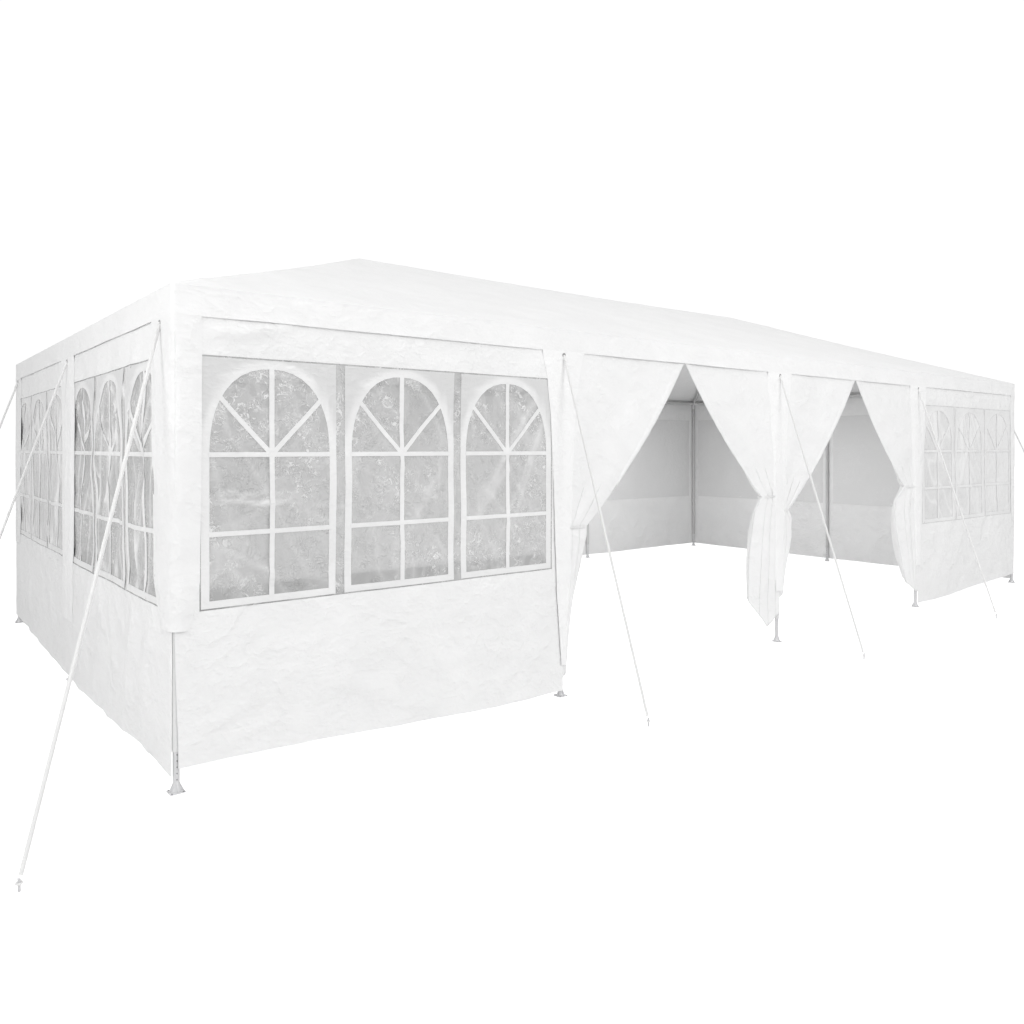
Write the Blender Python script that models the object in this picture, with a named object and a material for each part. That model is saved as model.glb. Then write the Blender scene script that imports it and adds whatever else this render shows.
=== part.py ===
"""Marquee tent, 4 m by 8 m, with four bays along each long side and two at each end.

Metres, +Z up. The origin is on the ground at the middle of the tent. +X runs
along the long side, from the left end to the right end, and -Y is the front
with the two doors. Every side is built in a local frame whose X runs along the
side and whose -Y points outwards, and is then turned about Z into its place.
"""

import math

import bmesh
import bpy
from mathutils import Matrix, Vector

# Driving dimensions of the whole tent
half_length = 4.0
half_width = 2.0
eave_height = 1.96
ridge_height = 2.68
hip_inset = 1.86
valance_depth = 0.12
seat_gap = 0.0003

# Steel tube frame
tube_radius = 0.016
tube_sides = 12
wall_to_post = 0.010
rail_height = 1.93
ridge_pole_drop = 0.036

# Adjustable foot under each post
plate_half_side = 0.03
plate_thickness = 0.003
flare_radius = 0.022
flare_height = 0.028
foot_tube_radius = 0.0125
foot_tube_top = 0.16
foot_sides = 16

# Cover with its valance and the drapes that hang over the posts, as (half width,
# height) pairs from the hem down. Its four sides stop cover_seam short of their seams.
cover_thickness = 0.004
cover_seam = 0.0002
drape_profile = ((0.14, 1.84), (0.108, 1.40), (0.078, 1.00), (0.06, 0.66), (0.043, 0.35))
corner_drape_profiles = {
    "front": ((0.11, 1.84), (0.105, 1.20), (0.10, 0.80), (0.04, 0.70)),
    "right": ((0.16, 1.84), (0.15, 1.20), (0.14, 0.80), (0.06, 0.70)),
}
corner_drape_profiles["back"] = corner_drape_profiles["front"]
corner_drape_profiles["left"] = corner_drape_profiles["right"]

# Side walls with arched windows and one clear sheet behind them
wall_thickness = 0.003
wall_top = 1.90
wall_bottom = 0.03
corner_wall_margin = 0.015
bay_seam_gap = 0.003
window_bottom = 0.69
window_top = 1.69
frame_width = 0.576
strip_width = 0.042
frame_border = 0.033
arch_springing = 1.30
arch_head_margin = 0.04
arch_steps = 12
film_thickness = 0.002
film_margin = 0.015

# Door curtains, tied back to the posts on either side of each door. Shares run down
# from the valance to the tie, from the tie to the widest place, and on to the tip.
curtain_panel_thickness = 0.005
curtain_points = 16
edge_shares = (0.28, 0.55, 0.8, 0.93)
edge_bow = 0.06
gathered_below = 0.5
gathered_depth = 0.03
tie_depth = 0.05
swelling = ((0.25, 0.55, 0.06), (0.6, 0.88, 0.08), (1.0, 1.0, 0.09))
tapering = ((0.45, 0.1, 0.85, 0.075), (0.8, 0.3, 0.65, 0.05), (1.0, 0.42, 0.5, 0.02))
flat_section = 0.2
round_section = 0.8

# Guy ropes, each with the head of its ground peg
rope_radius = 0.005
rope_sides = 8
rope_top = 1.822
rope_reach = 0.60
corner_rope_inset = 0.15
corner_rope_end = (0.557, 0.422)
rope_end_lift = 0.01
peg_radius = 0.008
peg_height = 0.045
peg_shoulder = 0.033

# Planes worked out from the dimensions above, measured outwards from the middle
wall_face_drop = cover_thickness + seat_gap
film_face_drop = wall_face_drop + wall_thickness + seat_gap
post_line_drop = wall_to_post + tube_radius
ridge_pole_height = ridge_height - ridge_pole_drop
post_top = rail_height - tube_radius - seat_gap

# The four sides: name, quarter turn about Z, half its length, distance out, bays
sides = {
    "front": (0, half_length, half_width, 4),
    "right": (1, half_width, half_length, 2),
    "back": (2, half_length, half_width, 4),
    "left": (3, half_width, half_length, 2),
}


def clear_scene():
    for old in list(bpy.data.objects):
        bpy.data.objects.remove(old, do_unlink=True)


def make_material(name, colour, roughness, metallic=0.0, alpha=1.0):
    material = bpy.data.materials.new(name)
    material.use_nodes = True
    shader = material.node_tree.nodes["Principled BSDF"]
    shader.inputs["Base Color"].default_value = (*colour, 1.0)
    shader.inputs["Roughness"].default_value = roughness
    shader.inputs["Metallic"].default_value = metallic
    shader.inputs["Alpha"].default_value = alpha
    material.diffuse_color = (*colour, alpha)
    return material


def add_object(name, mesh, material):
    mesh.materials.clear()
    mesh.materials.append(material)
    piece = bpy.data.objects.new(name, mesh)
    bpy.context.scene.collection.objects.link(piece)
    return piece


def mesh_from(bm, name, smooth=False):
    bmesh.ops.recalc_face_normals(bm, faces=bm.faces)
    mesh = bpy.data.meshes.new(name)
    bm.to_mesh(mesh)
    bm.free()
    if smooth:
        mesh.shade_smooth()
        mesh.set_sharp_from_angle(angle=math.radians(40))
    return mesh


def loft(rings):
    """Closed body through rings of equal point count, with flat ends."""
    bm = bmesh.new()
    loops = [[bm.verts.new(point) for point in ring] for ring in rings]
    count = len(loops[0])
    for lower, upper in zip(loops, loops[1:]):
        for i in range(count):
            j = (i + 1) % count
            bm.faces.new((lower[i], lower[j], upper[j], upper[i]))
    bm.faces.new(list(reversed(loops[0])))
    bm.faces.new(loops[-1])
    return bm


def turned_ring(radius, height, sides_count, square=False):
    """Ring about Z. A square ring has the same points, pushed out to a square."""
    points = []
    for i in range(sides_count):
        angle = 2 * math.pi * i / sides_count
        reach = radius
        if square:
            reach = radius / max(abs(math.cos(angle)), abs(math.sin(angle)))
        points.append((reach * math.cos(angle), reach * math.sin(angle), height))
    return points


def cut_ring(centre, direction, radius, sides_count, plane_normal):
    """Ring of a tube about direction, slid along it onto the plane through centre."""
    along = direction.normalized()
    across = along.cross(Vector((0, 0, 1)))
    if across.length < 1e-4:
        across = Vector((1, 0, 0))
    across.normalize()
    upright = across.cross(along)
    points = []
    for i in range(sides_count):
        angle = 2 * math.pi * i / sides_count
        offset = across * (radius * math.cos(angle)) + upright * (radius * math.sin(angle))
        slide = -plane_normal.dot(offset) / plane_normal.dot(along)
        points.append(centre + offset + along * slide)
    return points


def straight_tube(name, start, end, material, end_normal=None):
    direction = end - start
    rings = [
        cut_ring(start, direction, tube_radius, tube_sides, direction),
        cut_ring(end, direction, tube_radius, tube_sides, end_normal or direction),
    ]
    return add_object(name, mesh_from(loft(rings), name, smooth=True), material)


def side_turn(side):
    return Matrix.Rotation(math.radians(90 * sides[side][0]), 4, "Z")


def post_positions(side):
    half, bays = sides[side][1], sides[side][3]
    reach = half - post_line_drop
    return [-reach + 2 * reach * i / bays for i in range(bays + 1)]


def side_point(side, along, out_drop, height):
    """Point on a side: along it, dropped inwards from its outer face, at a height."""
    return side_turn(side) @ Vector((along, -(sides[side][2] - out_drop), height))


def make_post_mesh():
    rings = [
        turned_ring(plate_half_side, 0.0, foot_sides, square=True),
        turned_ring(plate_half_side, plate_thickness, foot_sides, square=True),
        turned_ring(flare_radius, plate_thickness, foot_sides),
        turned_ring(foot_tube_radius, flare_height, foot_sides),
        turned_ring(foot_tube_radius, foot_tube_top, foot_sides),
        turned_ring(tube_radius, foot_tube_top, foot_sides),
        turned_ring(tube_radius, post_top, foot_sides),
    ]
    return mesh_from(loft(rings), "post", smooth=True)


def make_posts(steel):
    mesh = make_post_mesh()
    for side in ("front", "back"):
        positions = post_positions(side)
        if side == "back":
            positions = positions[::-1]
        for number, along in enumerate(positions, start=1):
            post = add_object(f"post_{side}_{number}", mesh, steel)
            post.location = side_point(side, along, post_line_drop, 0.0)
    for side in ("left", "right"):
        post = add_object(f"post_{side}_middle", mesh, steel)
        post.location = side_point(side, 0.0, post_line_drop, 0.0)


def trim_beside(first, second):
    """How far a tube along first stops short of a crossing so that it clears second."""
    angle = first.angle(second)
    angle = min(angle, math.pi - angle)
    return (tube_radius + seat_gap + tube_radius * math.cos(angle)) / math.sin(angle)


def make_rails(steel):
    line_x = half_length - post_line_drop
    line_y = half_width - post_line_drop
    overrun = line_x + tube_radius
    for side, y in (("front", -line_y), ("back", line_y)):
        start, end = Vector((-overrun, y, rail_height)), Vector((overrun, y, rail_height))
        straight_tube(f"eave_rail_{side}", start, end, steel)
    reach = line_y - tube_radius - seat_gap
    for side, x in (("left", -line_x), ("right", line_x)):
        start, end = Vector((x, -reach, rail_height)), Vector((x, reach, rail_height))
        straight_tube(f"eave_rail_{side}", start, end, steel)


def make_roof_frame(steel):
    line_x = half_length - post_line_drop
    line_y = half_width - post_line_drop
    ridge_end = half_length - hip_inset
    trim = tube_radius + seat_gap
    straight_tube(
        "ridge_pole",
        Vector((-ridge_end, 0, ridge_pole_height)),
        Vector((ridge_end, 0, ridge_pole_height)),
        steel,
    )
    for side, y in (("front", -line_y), ("back", line_y)):
        for number, x in enumerate((-line_x / 2, 0.0, line_x / 2), start=1):
            low = Vector((x, y, rail_height))
            high = Vector((x, 0, ridge_pole_height))
            step = (high - low).normalized() * trim
            straight_tube(f"rafter_{side}_{number}", low + step, high - step, steel)
    for side, sign in (("left", -1), ("right", 1)):
        low = Vector((sign * line_x, 0, rail_height))
        high = Vector((sign * (ridge_end + seat_gap), 0, ridge_pole_height))
        step = (high - low).normalized() * trim
        name = f"rafter_{side}_end"
        straight_tube(name, low + step, high, steel, end_normal=Vector((1, 0, 0)))
        for row, y in (("front", -line_y), ("back", line_y)):
            corner = Vector((sign * line_x, y, rail_height))
            peak = Vector((sign * ridge_end, 0, ridge_pole_height))
            along = (peak - corner).normalized()
            beside_rails = [trim_beside(along, rail) for rail in (Vector((1, 0, 0)), Vector((0, 1, 0)))]
            beside_peak = [trim_beside(along, tube) for tube in (high - low, Vector((1, 0, 0)))]
            start, end = corner + along * max(beside_rails), peak - along * max(beside_peak)
            straight_tube(f"hip_rafter_{row}_{side}", start, end, steel)


def cover_stations(side):
    """Places along a side where the cover has a vertex, with the width of each drape."""
    corner = sides[side][1] - cover_seam
    corner_width, drape_width = corner_drape_profiles[side][0][0], drape_profile[0][0]
    posts = post_positions(side)
    stations = [-corner, -corner + corner_width]
    for left, right in zip(posts, posts[1:]):
        stations.append((left + right) / 2)
        if right is not posts[-1]:
            stations += [right - drape_width, right + drape_width]
    return stations + [corner - corner_width, corner]


def hang_drape(bm, top, pairs):
    """Strip of quads below two vertices of the hem, one row for each pair of points."""
    above = top
    for pair in pairs:
        below = [bm.verts.new(point) for point in pair]
        bm.faces.new((above[0], below[0], below[1], above[1]))
        above = below


def make_cover_panel(side, fabric):
    """One side of the cover: its slope of the roof, its valance and its drapes."""
    half, out = sides[side][1], sides[side][2]
    ridge_end = half_length - hip_inset
    if side in ("front", "back"):
        run = out
        crown = [(-ridge_end + cover_seam, -cover_seam), (ridge_end - cover_seam, -cover_seam)]
    else:
        run = hip_inset
        crown = [(0.0, -ridge_end - cover_seam)]
    slope = (ridge_height - eave_height) / run
    stations = cover_stations(side)
    hem_height = eave_height - valance_depth

    bm = bmesh.new()
    eave = [bm.verts.new((along, -out, eave_height)) for along in stations]
    hem = [bm.verts.new((along, -out, hem_height)) for along in stations]
    top = [bm.verts.new((x, y, eave_height + slope * (out + y))) for x, y in crown]
    bm.faces.new(eave + top[::-1])
    for i in range(len(stations) - 1):
        bm.faces.new((hem[i], hem[i + 1], eave[i + 1], eave[i]))
    for post in post_positions(side)[1:-1]:
        first = stations.index(post - drape_profile[0][0])
        rows = drape_profile[1:]
        pairs = [[(post + width * sign, -out, height) for sign in (-1, 1)] for width, height in rows]
        hang_drape(bm, [hem[first], hem[first + 1]], pairs)
    corner = stations[-1]
    rows = corner_drape_profiles[side][1:]
    left_pairs = [[(-corner, -out, z), (width - corner, -out, z)] for width, z in rows]
    right_pairs = [[(corner - width, -out, z), (corner, -out, z)] for width, z in rows]
    hang_drape(bm, hem[:2], left_pairs)
    hang_drape(bm, hem[-2:], right_pairs)

    # The inner skin lies one thickness in, and is mitred at the corners and hips
    sheer = cover_thickness * math.hypot(1.0, slope)
    grown = bmesh.ops.extrude_face_region(bm, geom=bm.faces[:], use_keep_orig=True)
    for vert in [item for item in grown["geom"] if isinstance(item, bmesh.types.BMVert)]:
        point = vert.co
        if point.y > -out + cover_thickness:
            point.z -= sheer
            continue
        if point.z > hem_height + cover_thickness:
            point.z -= sheer - slope * cover_thickness
        point.y += cover_thickness
        point.x = max(cover_thickness - corner, min(corner - cover_thickness, point.x))
    bmesh.ops.transform(bm, matrix=side_turn(side), verts=bm.verts)
    name = f"roof_cover_{side}"
    return add_object(name, mesh_from(bm, name), fabric)


def rectangle(left, right, low, high):
    return [(left, low), (right, low), (right, high), (left, high)]


def window_outlines(bay_centre):
    """Closed outlines of the three arched panes and the two clear strips of one bay."""
    outlines = []
    pitch = frame_width + strip_width
    half_pane = frame_width / 2 - frame_border
    rise = window_top - arch_head_margin - arch_springing
    for index in (-1, 0, 1):
        centre = bay_centre + index * pitch
        outline = [(centre - half_pane, window_bottom + frame_border)]
        outline.append((centre + half_pane, window_bottom + frame_border))
        for step in range(arch_steps + 1):
            angle = math.pi * step / arch_steps
            height = arch_springing + rise * math.sin(angle)
            outline.append((centre + half_pane * math.cos(angle), height))
        outlines.append(outline)
    for index in (-0.5, 0.5):
        left = bay_centre + index * pitch - strip_width / 2
        outlines.append(rectangle(left, left + strip_width, window_bottom, window_top))
    return outlines


def plate_with_holes(outline, holes, face_y, thickness):
    """Flat plate in the XZ plane with holes, its outer face at face_y, thickness towards +Y."""
    bm = bmesh.new()
    edges = []
    for loop in [outline] + holes:
        verts = [bm.verts.new((x, face_y, z)) for x, z in loop]
        edges += [bm.edges.new((verts[i], verts[(i + 1) % len(verts)])) for i in range(len(verts))]
    filled = bmesh.ops.triangle_fill(bm, edges=edges, use_beauty=True, normal=(0, -1, 0))
    faces = [item for item in filled["geom"] if isinstance(item, bmesh.types.BMFace)]
    grown = bmesh.ops.extrude_face_region(bm, geom=faces, use_keep_orig=True)
    moved = [item for item in grown["geom"] if isinstance(item, bmesh.types.BMVert)]
    bmesh.ops.translate(bm, verts=moved, vec=(0, thickness, 0))
    return bm


def make_wall(name, side, bays, fabric):
    half, out = sides[side][1], sides[side][2]
    posts = post_positions(side)
    left = posts[bays[0]] + bay_seam_gap
    right = posts[bays[-1] + 1] - bay_seam_gap
    if bays[0] == 0:
        left = -half + corner_wall_margin
    if bays[-1] == sides[side][3] - 1:
        right = half - corner_wall_margin
    outline = rectangle(left, right, wall_bottom, wall_top)
    holes = []
    for bay in bays:
        holes += window_outlines((posts[bay] + posts[bay + 1]) / 2)
    bm = plate_with_holes(outline, holes, -(out - wall_face_drop), wall_thickness)
    bmesh.ops.transform(bm, matrix=side_turn(side), verts=bm.verts)
    return add_object(name, mesh_from(bm, name), fabric)


def make_film(name, side, bays, film):
    out = sides[side][2]
    posts = post_positions(side)
    group_half = 1.5 * frame_width + strip_width + film_margin
    left = (posts[bays[0]] + posts[bays[0] + 1]) / 2 - group_half
    right = (posts[bays[-1]] + posts[bays[-1] + 1]) / 2 + group_half
    outline = rectangle(left, right, window_bottom - film_margin, window_top + film_margin)
    bm = plate_with_holes(outline, [], -(out - film_face_drop), film_thickness)
    bmesh.ops.transform(bm, matrix=side_turn(side), verts=bm.verts)
    return add_object(name, mesh_from(bm, name), film)


def curtain_ring(inner, outer, depth, squareness, height, side_sign):
    """Section of a curtain from inner to outer along the wall, depth deep behind its face."""
    points = []
    centre, half = (inner + outer) / 2, (outer - inner) / 2
    face = -(half_width - wall_face_drop)
    for i in range(curtain_points):
        angle = 2 * math.pi * (i + 0.5) / curtain_points
        across = math.copysign(abs(math.cos(angle)) ** squareness, math.cos(angle))
        deep = math.copysign(abs(math.sin(angle)) ** squareness, math.sin(angle))
        points.append((side_sign * (centre + half * across), face + depth / 2 * (1 + deep), height))
    return points


def curtain_stages(tie, bundle):
    """Sections of a curtain from its top down: inner and outer edge, depth, squareness, height."""
    posts = post_positions("front")
    bay_half = (posts[1] - posts[0]) / 2 - bay_seam_gap
    hem_height = eave_height - valance_depth
    beside_post = tube_radius + seat_gap
    tie_width, tie_height = tie
    bundle_width, widest_height, tip_height = bundle
    panel = curtain_panel_thickness
    stages = [(bay_seam_gap, bay_half, panel, flat_section, height) for height in (wall_top, hem_height)]
    for share in edge_shares:
        edge = bay_half + (tie_width - bay_half) * (share - edge_bow * math.sin(math.pi * share))
        height = hem_height + (tie_height - hem_height) * share
        if share < gathered_below:
            stages.append((bay_seam_gap, edge, panel, flat_section, height))
        else:
            depth = panel + gathered_depth * share ** 3
            stages.append((beside_post, edge, depth, round_section * share, height))
    stages.append((beside_post, tie_width, tie_depth, round_section, tie_height))
    for share, width_share, depth in swelling:
        width = tie_width + (bundle_width - tie_width) * width_share
        height = tie_height + (widest_height - tie_height) * share
        stages.append((beside_post, width, depth, round_section, height))
    for share, inner_share, width_share, depth in tapering:
        inner = beside_post + (bundle_width - beside_post) * inner_share
        height = widest_height + (tip_height - widest_height) * share
        stages.append((inner, bundle_width * width_share, depth, round_section, height))
    return stages


def make_curtain(name, post, side_sign, tie, bundle, fabric):
    """Door curtain: a thin panel down to its tie, then a hanging gathered bundle."""
    rings = [curtain_ring(*stage, side_sign) for stage in curtain_stages(tie, bundle)]
    bm = loft(rings)
    bmesh.ops.translate(bm, verts=bm.verts, vec=(post_positions("front")[post], 0, 0))
    return add_object(name, mesh_from(bm, name), fabric)


def make_rope(name, top, foot, face_normal, rope):
    """Taut rope from its eyelet to the head of its peg, in one tube."""
    peg_top = Vector((foot.x, foot.y, peg_height))
    direction = peg_top - top
    rope_end = peg_top - direction.normalized() * rope_end_lift
    rings = [
        cut_ring(top, direction, rope_radius, rope_sides, face_normal),
        cut_ring(rope_end, direction, rope_radius, rope_sides, direction),
    ]
    for height in (peg_shoulder, 0.0):
        centre = Vector((foot.x, foot.y, height))
        rings.append(cut_ring(centre, direction, peg_radius, rope_sides, Vector((0, 0, -1))))
    return add_object(name, mesh_from(loft(rings), name, smooth=True), rope)


def make_ropes(rope):
    for side in ("front", "back"):
        positions = post_positions(side)
        if side == "back":
            positions = positions[::-1]
        for number, along in enumerate(positions[1:-1], start=2):
            top = side_point(side, along, -seat_gap, rope_top)
            foot = side_point(side, along, -rope_reach, 0.0)
            normal = side_turn(side) @ Vector((0, -1, 0))
            make_rope(f"guy_rope_{side}_{number}", top, foot, normal, rope)
    for side in ("left", "right"):
        top = side_point(side, 0.0, -seat_gap, rope_top)
        foot = side_point(side, 0.0, -rope_reach, 0.0)
        make_rope(f"guy_rope_{side}_middle", top, foot, side_turn(side) @ Vector((0, -1, 0)), rope)
    for row, sign_y in (("front", -1), ("back", 1)):
        for number, sign_x in ((1, -1), (5, 1)):
            eyelet = (half_length + seat_gap, half_width - corner_rope_inset)
            top = Vector((sign_x * eyelet[0], sign_y * eyelet[1], rope_top))
            reach_x, reach_y = half_length + corner_rope_end[0], half_width + corner_rope_end[1]
            foot = Vector((sign_x * reach_x, sign_y * reach_y, 0.0))
            make_rope(f"guy_rope_{row}_{number}", top, foot, Vector((1, 0, 0)), rope)


def build():
    clear_scene()
    steel = make_material("white_steel", (0.82, 0.82, 0.82), 0.35, metallic=0.0)
    fabric = make_material("white_sheeting", (0.93, 0.93, 0.93), 0.5)
    film = make_material("clear_film", (0.72, 0.73, 0.73), 0.15, alpha=0.35)
    rope = make_material("white_rope", (0.9, 0.9, 0.9), 0.7)
    make_posts(steel)
    make_rails(steel)
    make_roof_frame(steel)
    for side in sides:
        make_cover_panel(side, fabric)
    walls = {
        "front_left": ("front", (0,)),
        "front_right": ("front", (3,)),
        "right_end": ("right", (0, 1)),
        "back_right": ("back", (0, 1)),
        "back_left": ("back", (2, 3)),
        "left_end": ("left", (0, 1)),
    }
    for label, (side, bays) in walls.items():
        make_wall(f"wall_{label}", side, bays, fabric)
    films = {
        "front_left": ("front", (0,)),
        "front_right": ("front", (3,)),
        "right_end": ("right", (0, 1)),
        "back": ("back", (0, 1, 2, 3)),
        "left_end": ("left", (0, 1)),
    }
    for label, (side, bays) in films.items():
        make_film(f"window_film_{label}", side, bays, film)
    # Curtain: post number, side of the post, (width, height) at the tie,
    # (width, height) where the bundle is widest, and the height of its tip
    make_curtain("door_curtain_1_left", 1, 1, (0.19, 0.90), (0.17, 0.72, 0.10), fabric)
    make_curtain("door_curtain_1_right", 2, -1, (0.21, 1.00), (0.31, 0.42, 0.13), fabric)
    make_curtain("door_curtain_2_left", 2, 1, (0.12, 0.90), (0.18, 0.60, 0.30), fabric)
    make_curtain("door_curtain_2_right", 3, -1, (0.22, 1.02), (0.31, 0.80, 0.13), fabric)
    make_ropes(rope)


build()
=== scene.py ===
import math

import bmesh
import bpy
from mathutils import Matrix, Vector, noise


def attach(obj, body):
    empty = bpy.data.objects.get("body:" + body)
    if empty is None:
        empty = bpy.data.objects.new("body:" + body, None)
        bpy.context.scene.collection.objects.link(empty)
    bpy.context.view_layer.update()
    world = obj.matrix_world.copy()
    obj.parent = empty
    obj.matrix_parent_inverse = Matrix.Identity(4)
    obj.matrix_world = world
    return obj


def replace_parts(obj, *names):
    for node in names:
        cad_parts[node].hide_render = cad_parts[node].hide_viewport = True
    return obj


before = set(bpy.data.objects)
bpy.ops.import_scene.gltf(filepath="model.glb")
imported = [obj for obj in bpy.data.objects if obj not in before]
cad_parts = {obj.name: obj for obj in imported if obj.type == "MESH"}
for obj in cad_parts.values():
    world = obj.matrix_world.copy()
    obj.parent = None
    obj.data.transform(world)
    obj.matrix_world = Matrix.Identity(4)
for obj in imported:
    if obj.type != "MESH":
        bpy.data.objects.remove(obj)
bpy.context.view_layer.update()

# Metres. X runs along the tent from the left end, -Y is the front with the doors.
# Every side is made in its own frame, X along it and -Y outwards, then turned into place.
tent = {
    "halfLength": 4.0,
    "halfWidth": 2.0,
    "eave": 1.96,
    "ridge": 2.68,
    "ridgeEnd": 2.14,
    "hem": 1.84,
    "postLine": 0.026,
    "railHeight": 1.93,
    "ridgePole": 2.644,
    "postTop": 1.9137,
    "tubeRadius": 0.016,
}
sides = {
    "front": {"turn": 0, "half": 4.0, "out": 2.0, "bays": 4},
    "right": {"turn": 1, "half": 2.0, "out": 4.0, "bays": 2},
    "back": {"turn": 2, "half": 4.0, "out": 2.0, "bays": 4},
    "left": {"turn": 3, "half": 2.0, "out": 4.0, "bays": 2},
}


def sideTurn(side):
    return Matrix.Rotation(math.radians(90 * sides[side]["turn"]), 4, "Z")


def postPlaces(side):
    reach = sides[side]["half"] - tent["postLine"]
    bays = sides[side]["bays"]
    return [-reach + 2 * reach * i / bays for i in range(bays + 1)]


def bayCentres(side):
    places = postPlaces(side)
    return [(a + b) / 2 for a, b in zip(places, places[1:])]


def sidePoint(side, along, out, height):
    # a place that is out beyond the plane of a side, at a distance along it
    return sideTurn(side) @ Vector((along, -(sides[side]["out"] + out), height))


def smoothStep(low, high, value):
    share = min(1.0, max(0.0, (value - low) / (high - low)))
    return share * share * (3 - 2 * share)


def belowHem(height, reach):
    # 0 under the eave, 1 from some way below the valance
    return smoothStep(tent["hem"], tent["hem"] - reach, height)


def bell(value, width):
    return math.exp(-(value / width) ** 2)


def swell(x, y, seed):
    return noise.noise(Vector((x, y, seed)))


def ridge(x, y, seed):
    # 1 on the winding lines where a crease runs, 0 away from them
    return max(0.0, 1.0 - 3.0 * abs(noise.noise(Vector((x, y, seed))))) ** 2


def facets(x, y, seed):
    # flat facets between sharp creases, as on sheeting that was packed folded
    near = noise.voronoi(Vector((x, y, seed)))[0]
    return near[1] - near[0]


def evenLines(low, high, step, fixed=()):
    # grid lines about a step apart, with the nearest inner ones moved onto the fixed places
    count = max(1, round((high - low) / step))
    lines = [low + (high - low) * i / count for i in range(count + 1)]
    inner = list(range(1, count))
    for place in fixed:
        nearest = min(inner, key=lambda i: abs(lines[i] - place))
        inner.remove(nearest)
        lines[nearest] = place
    return sorted(lines)


def gridOver(acrossLines, upLines):
    # flat grid in the XZ plane that faces -Y, with its lines at the given places
    across, up = len(acrossLines) - 1, len(upLines) - 1
    bm = bmesh.new()
    bmesh.ops.create_grid(bm, x_segments=across, y_segments=up, size=1.0)
    for vert in bm.verts:
        i = round((vert.co.x + 1) / 2 * across)
        j = round((vert.co.y + 1) / 2 * up)
        vert.co = (acrossLines[i], 0.0, upLines[j])
    return bm


def addPiece(name, bm, materials, thickness=0.0):
    # a smooth-shaded piece; a sheet gets its thickness and keeps its rim sharp
    if thickness:
        for edge in bm.edges:
            if edge.is_boundary:
                edge.smooth = False
    mesh = bpy.data.meshes.new(name)
    bm.to_mesh(mesh)
    bm.free()
    for material in materials:
        mesh.materials.append(material)
    mesh.polygons.foreach_set("use_smooth", [True] * len(mesh.polygons))
    piece = bpy.data.objects.new(name, mesh)
    bpy.context.collection.objects.link(piece)
    if thickness:
        solid = piece.modifiers.new("thickness", "SOLIDIFY")
        solid.thickness = thickness
        solid.offset = -1.0
    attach(piece, "root")
    return piece


def sharpen(piece, degrees=35):
    piece.data.set_sharp_from_angle(angle=math.radians(degrees))
    return piece


def addInto(whole, bm, matrix=None, index=None):
    # puts one mesh into another, in its place and with its material
    if matrix is not None:
        bmesh.ops.transform(bm, matrix=matrix, verts=bm.verts)
    if index is not None:
        for face in bm.faces:
            face.material_index = index
    part = bpy.data.meshes.new("part")
    bm.to_mesh(part)
    bm.free()
    whole.from_mesh(part)
    bpy.data.meshes.remove(part)


def growRim(bm, rim):
    # one more row of faces on an open rim, as its new edges and vertices
    grown = bmesh.ops.extrude_edge_only(bm, edges=rim)["geom"]
    edges = [item for item in grown if isinstance(item, bmesh.types.BMEdge)]
    return edges, [item for item in grown if isinstance(item, bmesh.types.BMVert)]


def faceOutwards(bm, outward):
    # turns an open sheet over if it looks the wrong way
    bm.normal_update()
    if sum(face.normal.dot(outward) for face in bm.faces) < 0:
        bmesh.ops.reverse_faces(bm, faces=bm.faces[:])


def alongLine(start, direction):
    # carries a piece made up the Z axis to a start, along a direction
    return Matrix.Translation(start) @ direction.to_track_quat("Z", "Y").to_matrix().to_4x4()


def spun(profile, segments):
    # turned solid from (radius, height) points, closed at both ends
    bm = bmesh.new()
    verts = [bm.verts.new((radius, 0.0, height)) for radius, height in profile]
    edges = [bm.edges.new(pair) for pair in zip(verts, verts[1:])]
    return spinRound(bm, verts + edges, segments)


def spinRound(bm, geom, steps):
    bmesh.ops.spin(
        bm, geom=geom, cent=(0, 0, 0), axis=(0, 0, 1), angle=2 * math.pi, steps=steps, use_merge=True,
    )
    bmesh.ops.remove_doubles(bm, verts=bm.verts[:], dist=0.00001)
    bmesh.ops.recalc_face_normals(bm, faces=bm.faces[:])
    return bm


# ---- camera, lights and floor
studio = {
    "cameraPlace": (-4.932, -5.264, 1.326),
    "cameraYaw": 38.45,
    "lens": 28.91,
    "shiftY": -0.0624,
    "skyLight": 0.72,
    "skySeen": 1.05,
    # place, size, power and what it is aimed at
    "lights": {
        "keyLight": ((0.2, -9.8, 6.6), 5.0, 240.0, (-0.6, -1.0, 1.2)),
        "sideLight": ((-7.0, -2.5, 3.1), 2.4, 50.0, (-4.0, -0.8, 1.0)),
        "topLight": ((0.0, -4.0, 9.0), 6.0, 80.0, (0.0, 0.0, 2.0)),
    },
    "fillSize": (5.8, 2.2),
    "fillHeight": 1.87,
    "fillPower": 69.0,
    "floorColour": (0.8, 0.8, 0.8, 1.0),
    "floorSeen": 0.72,
    "floorHalf": 60.0,
}


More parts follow.
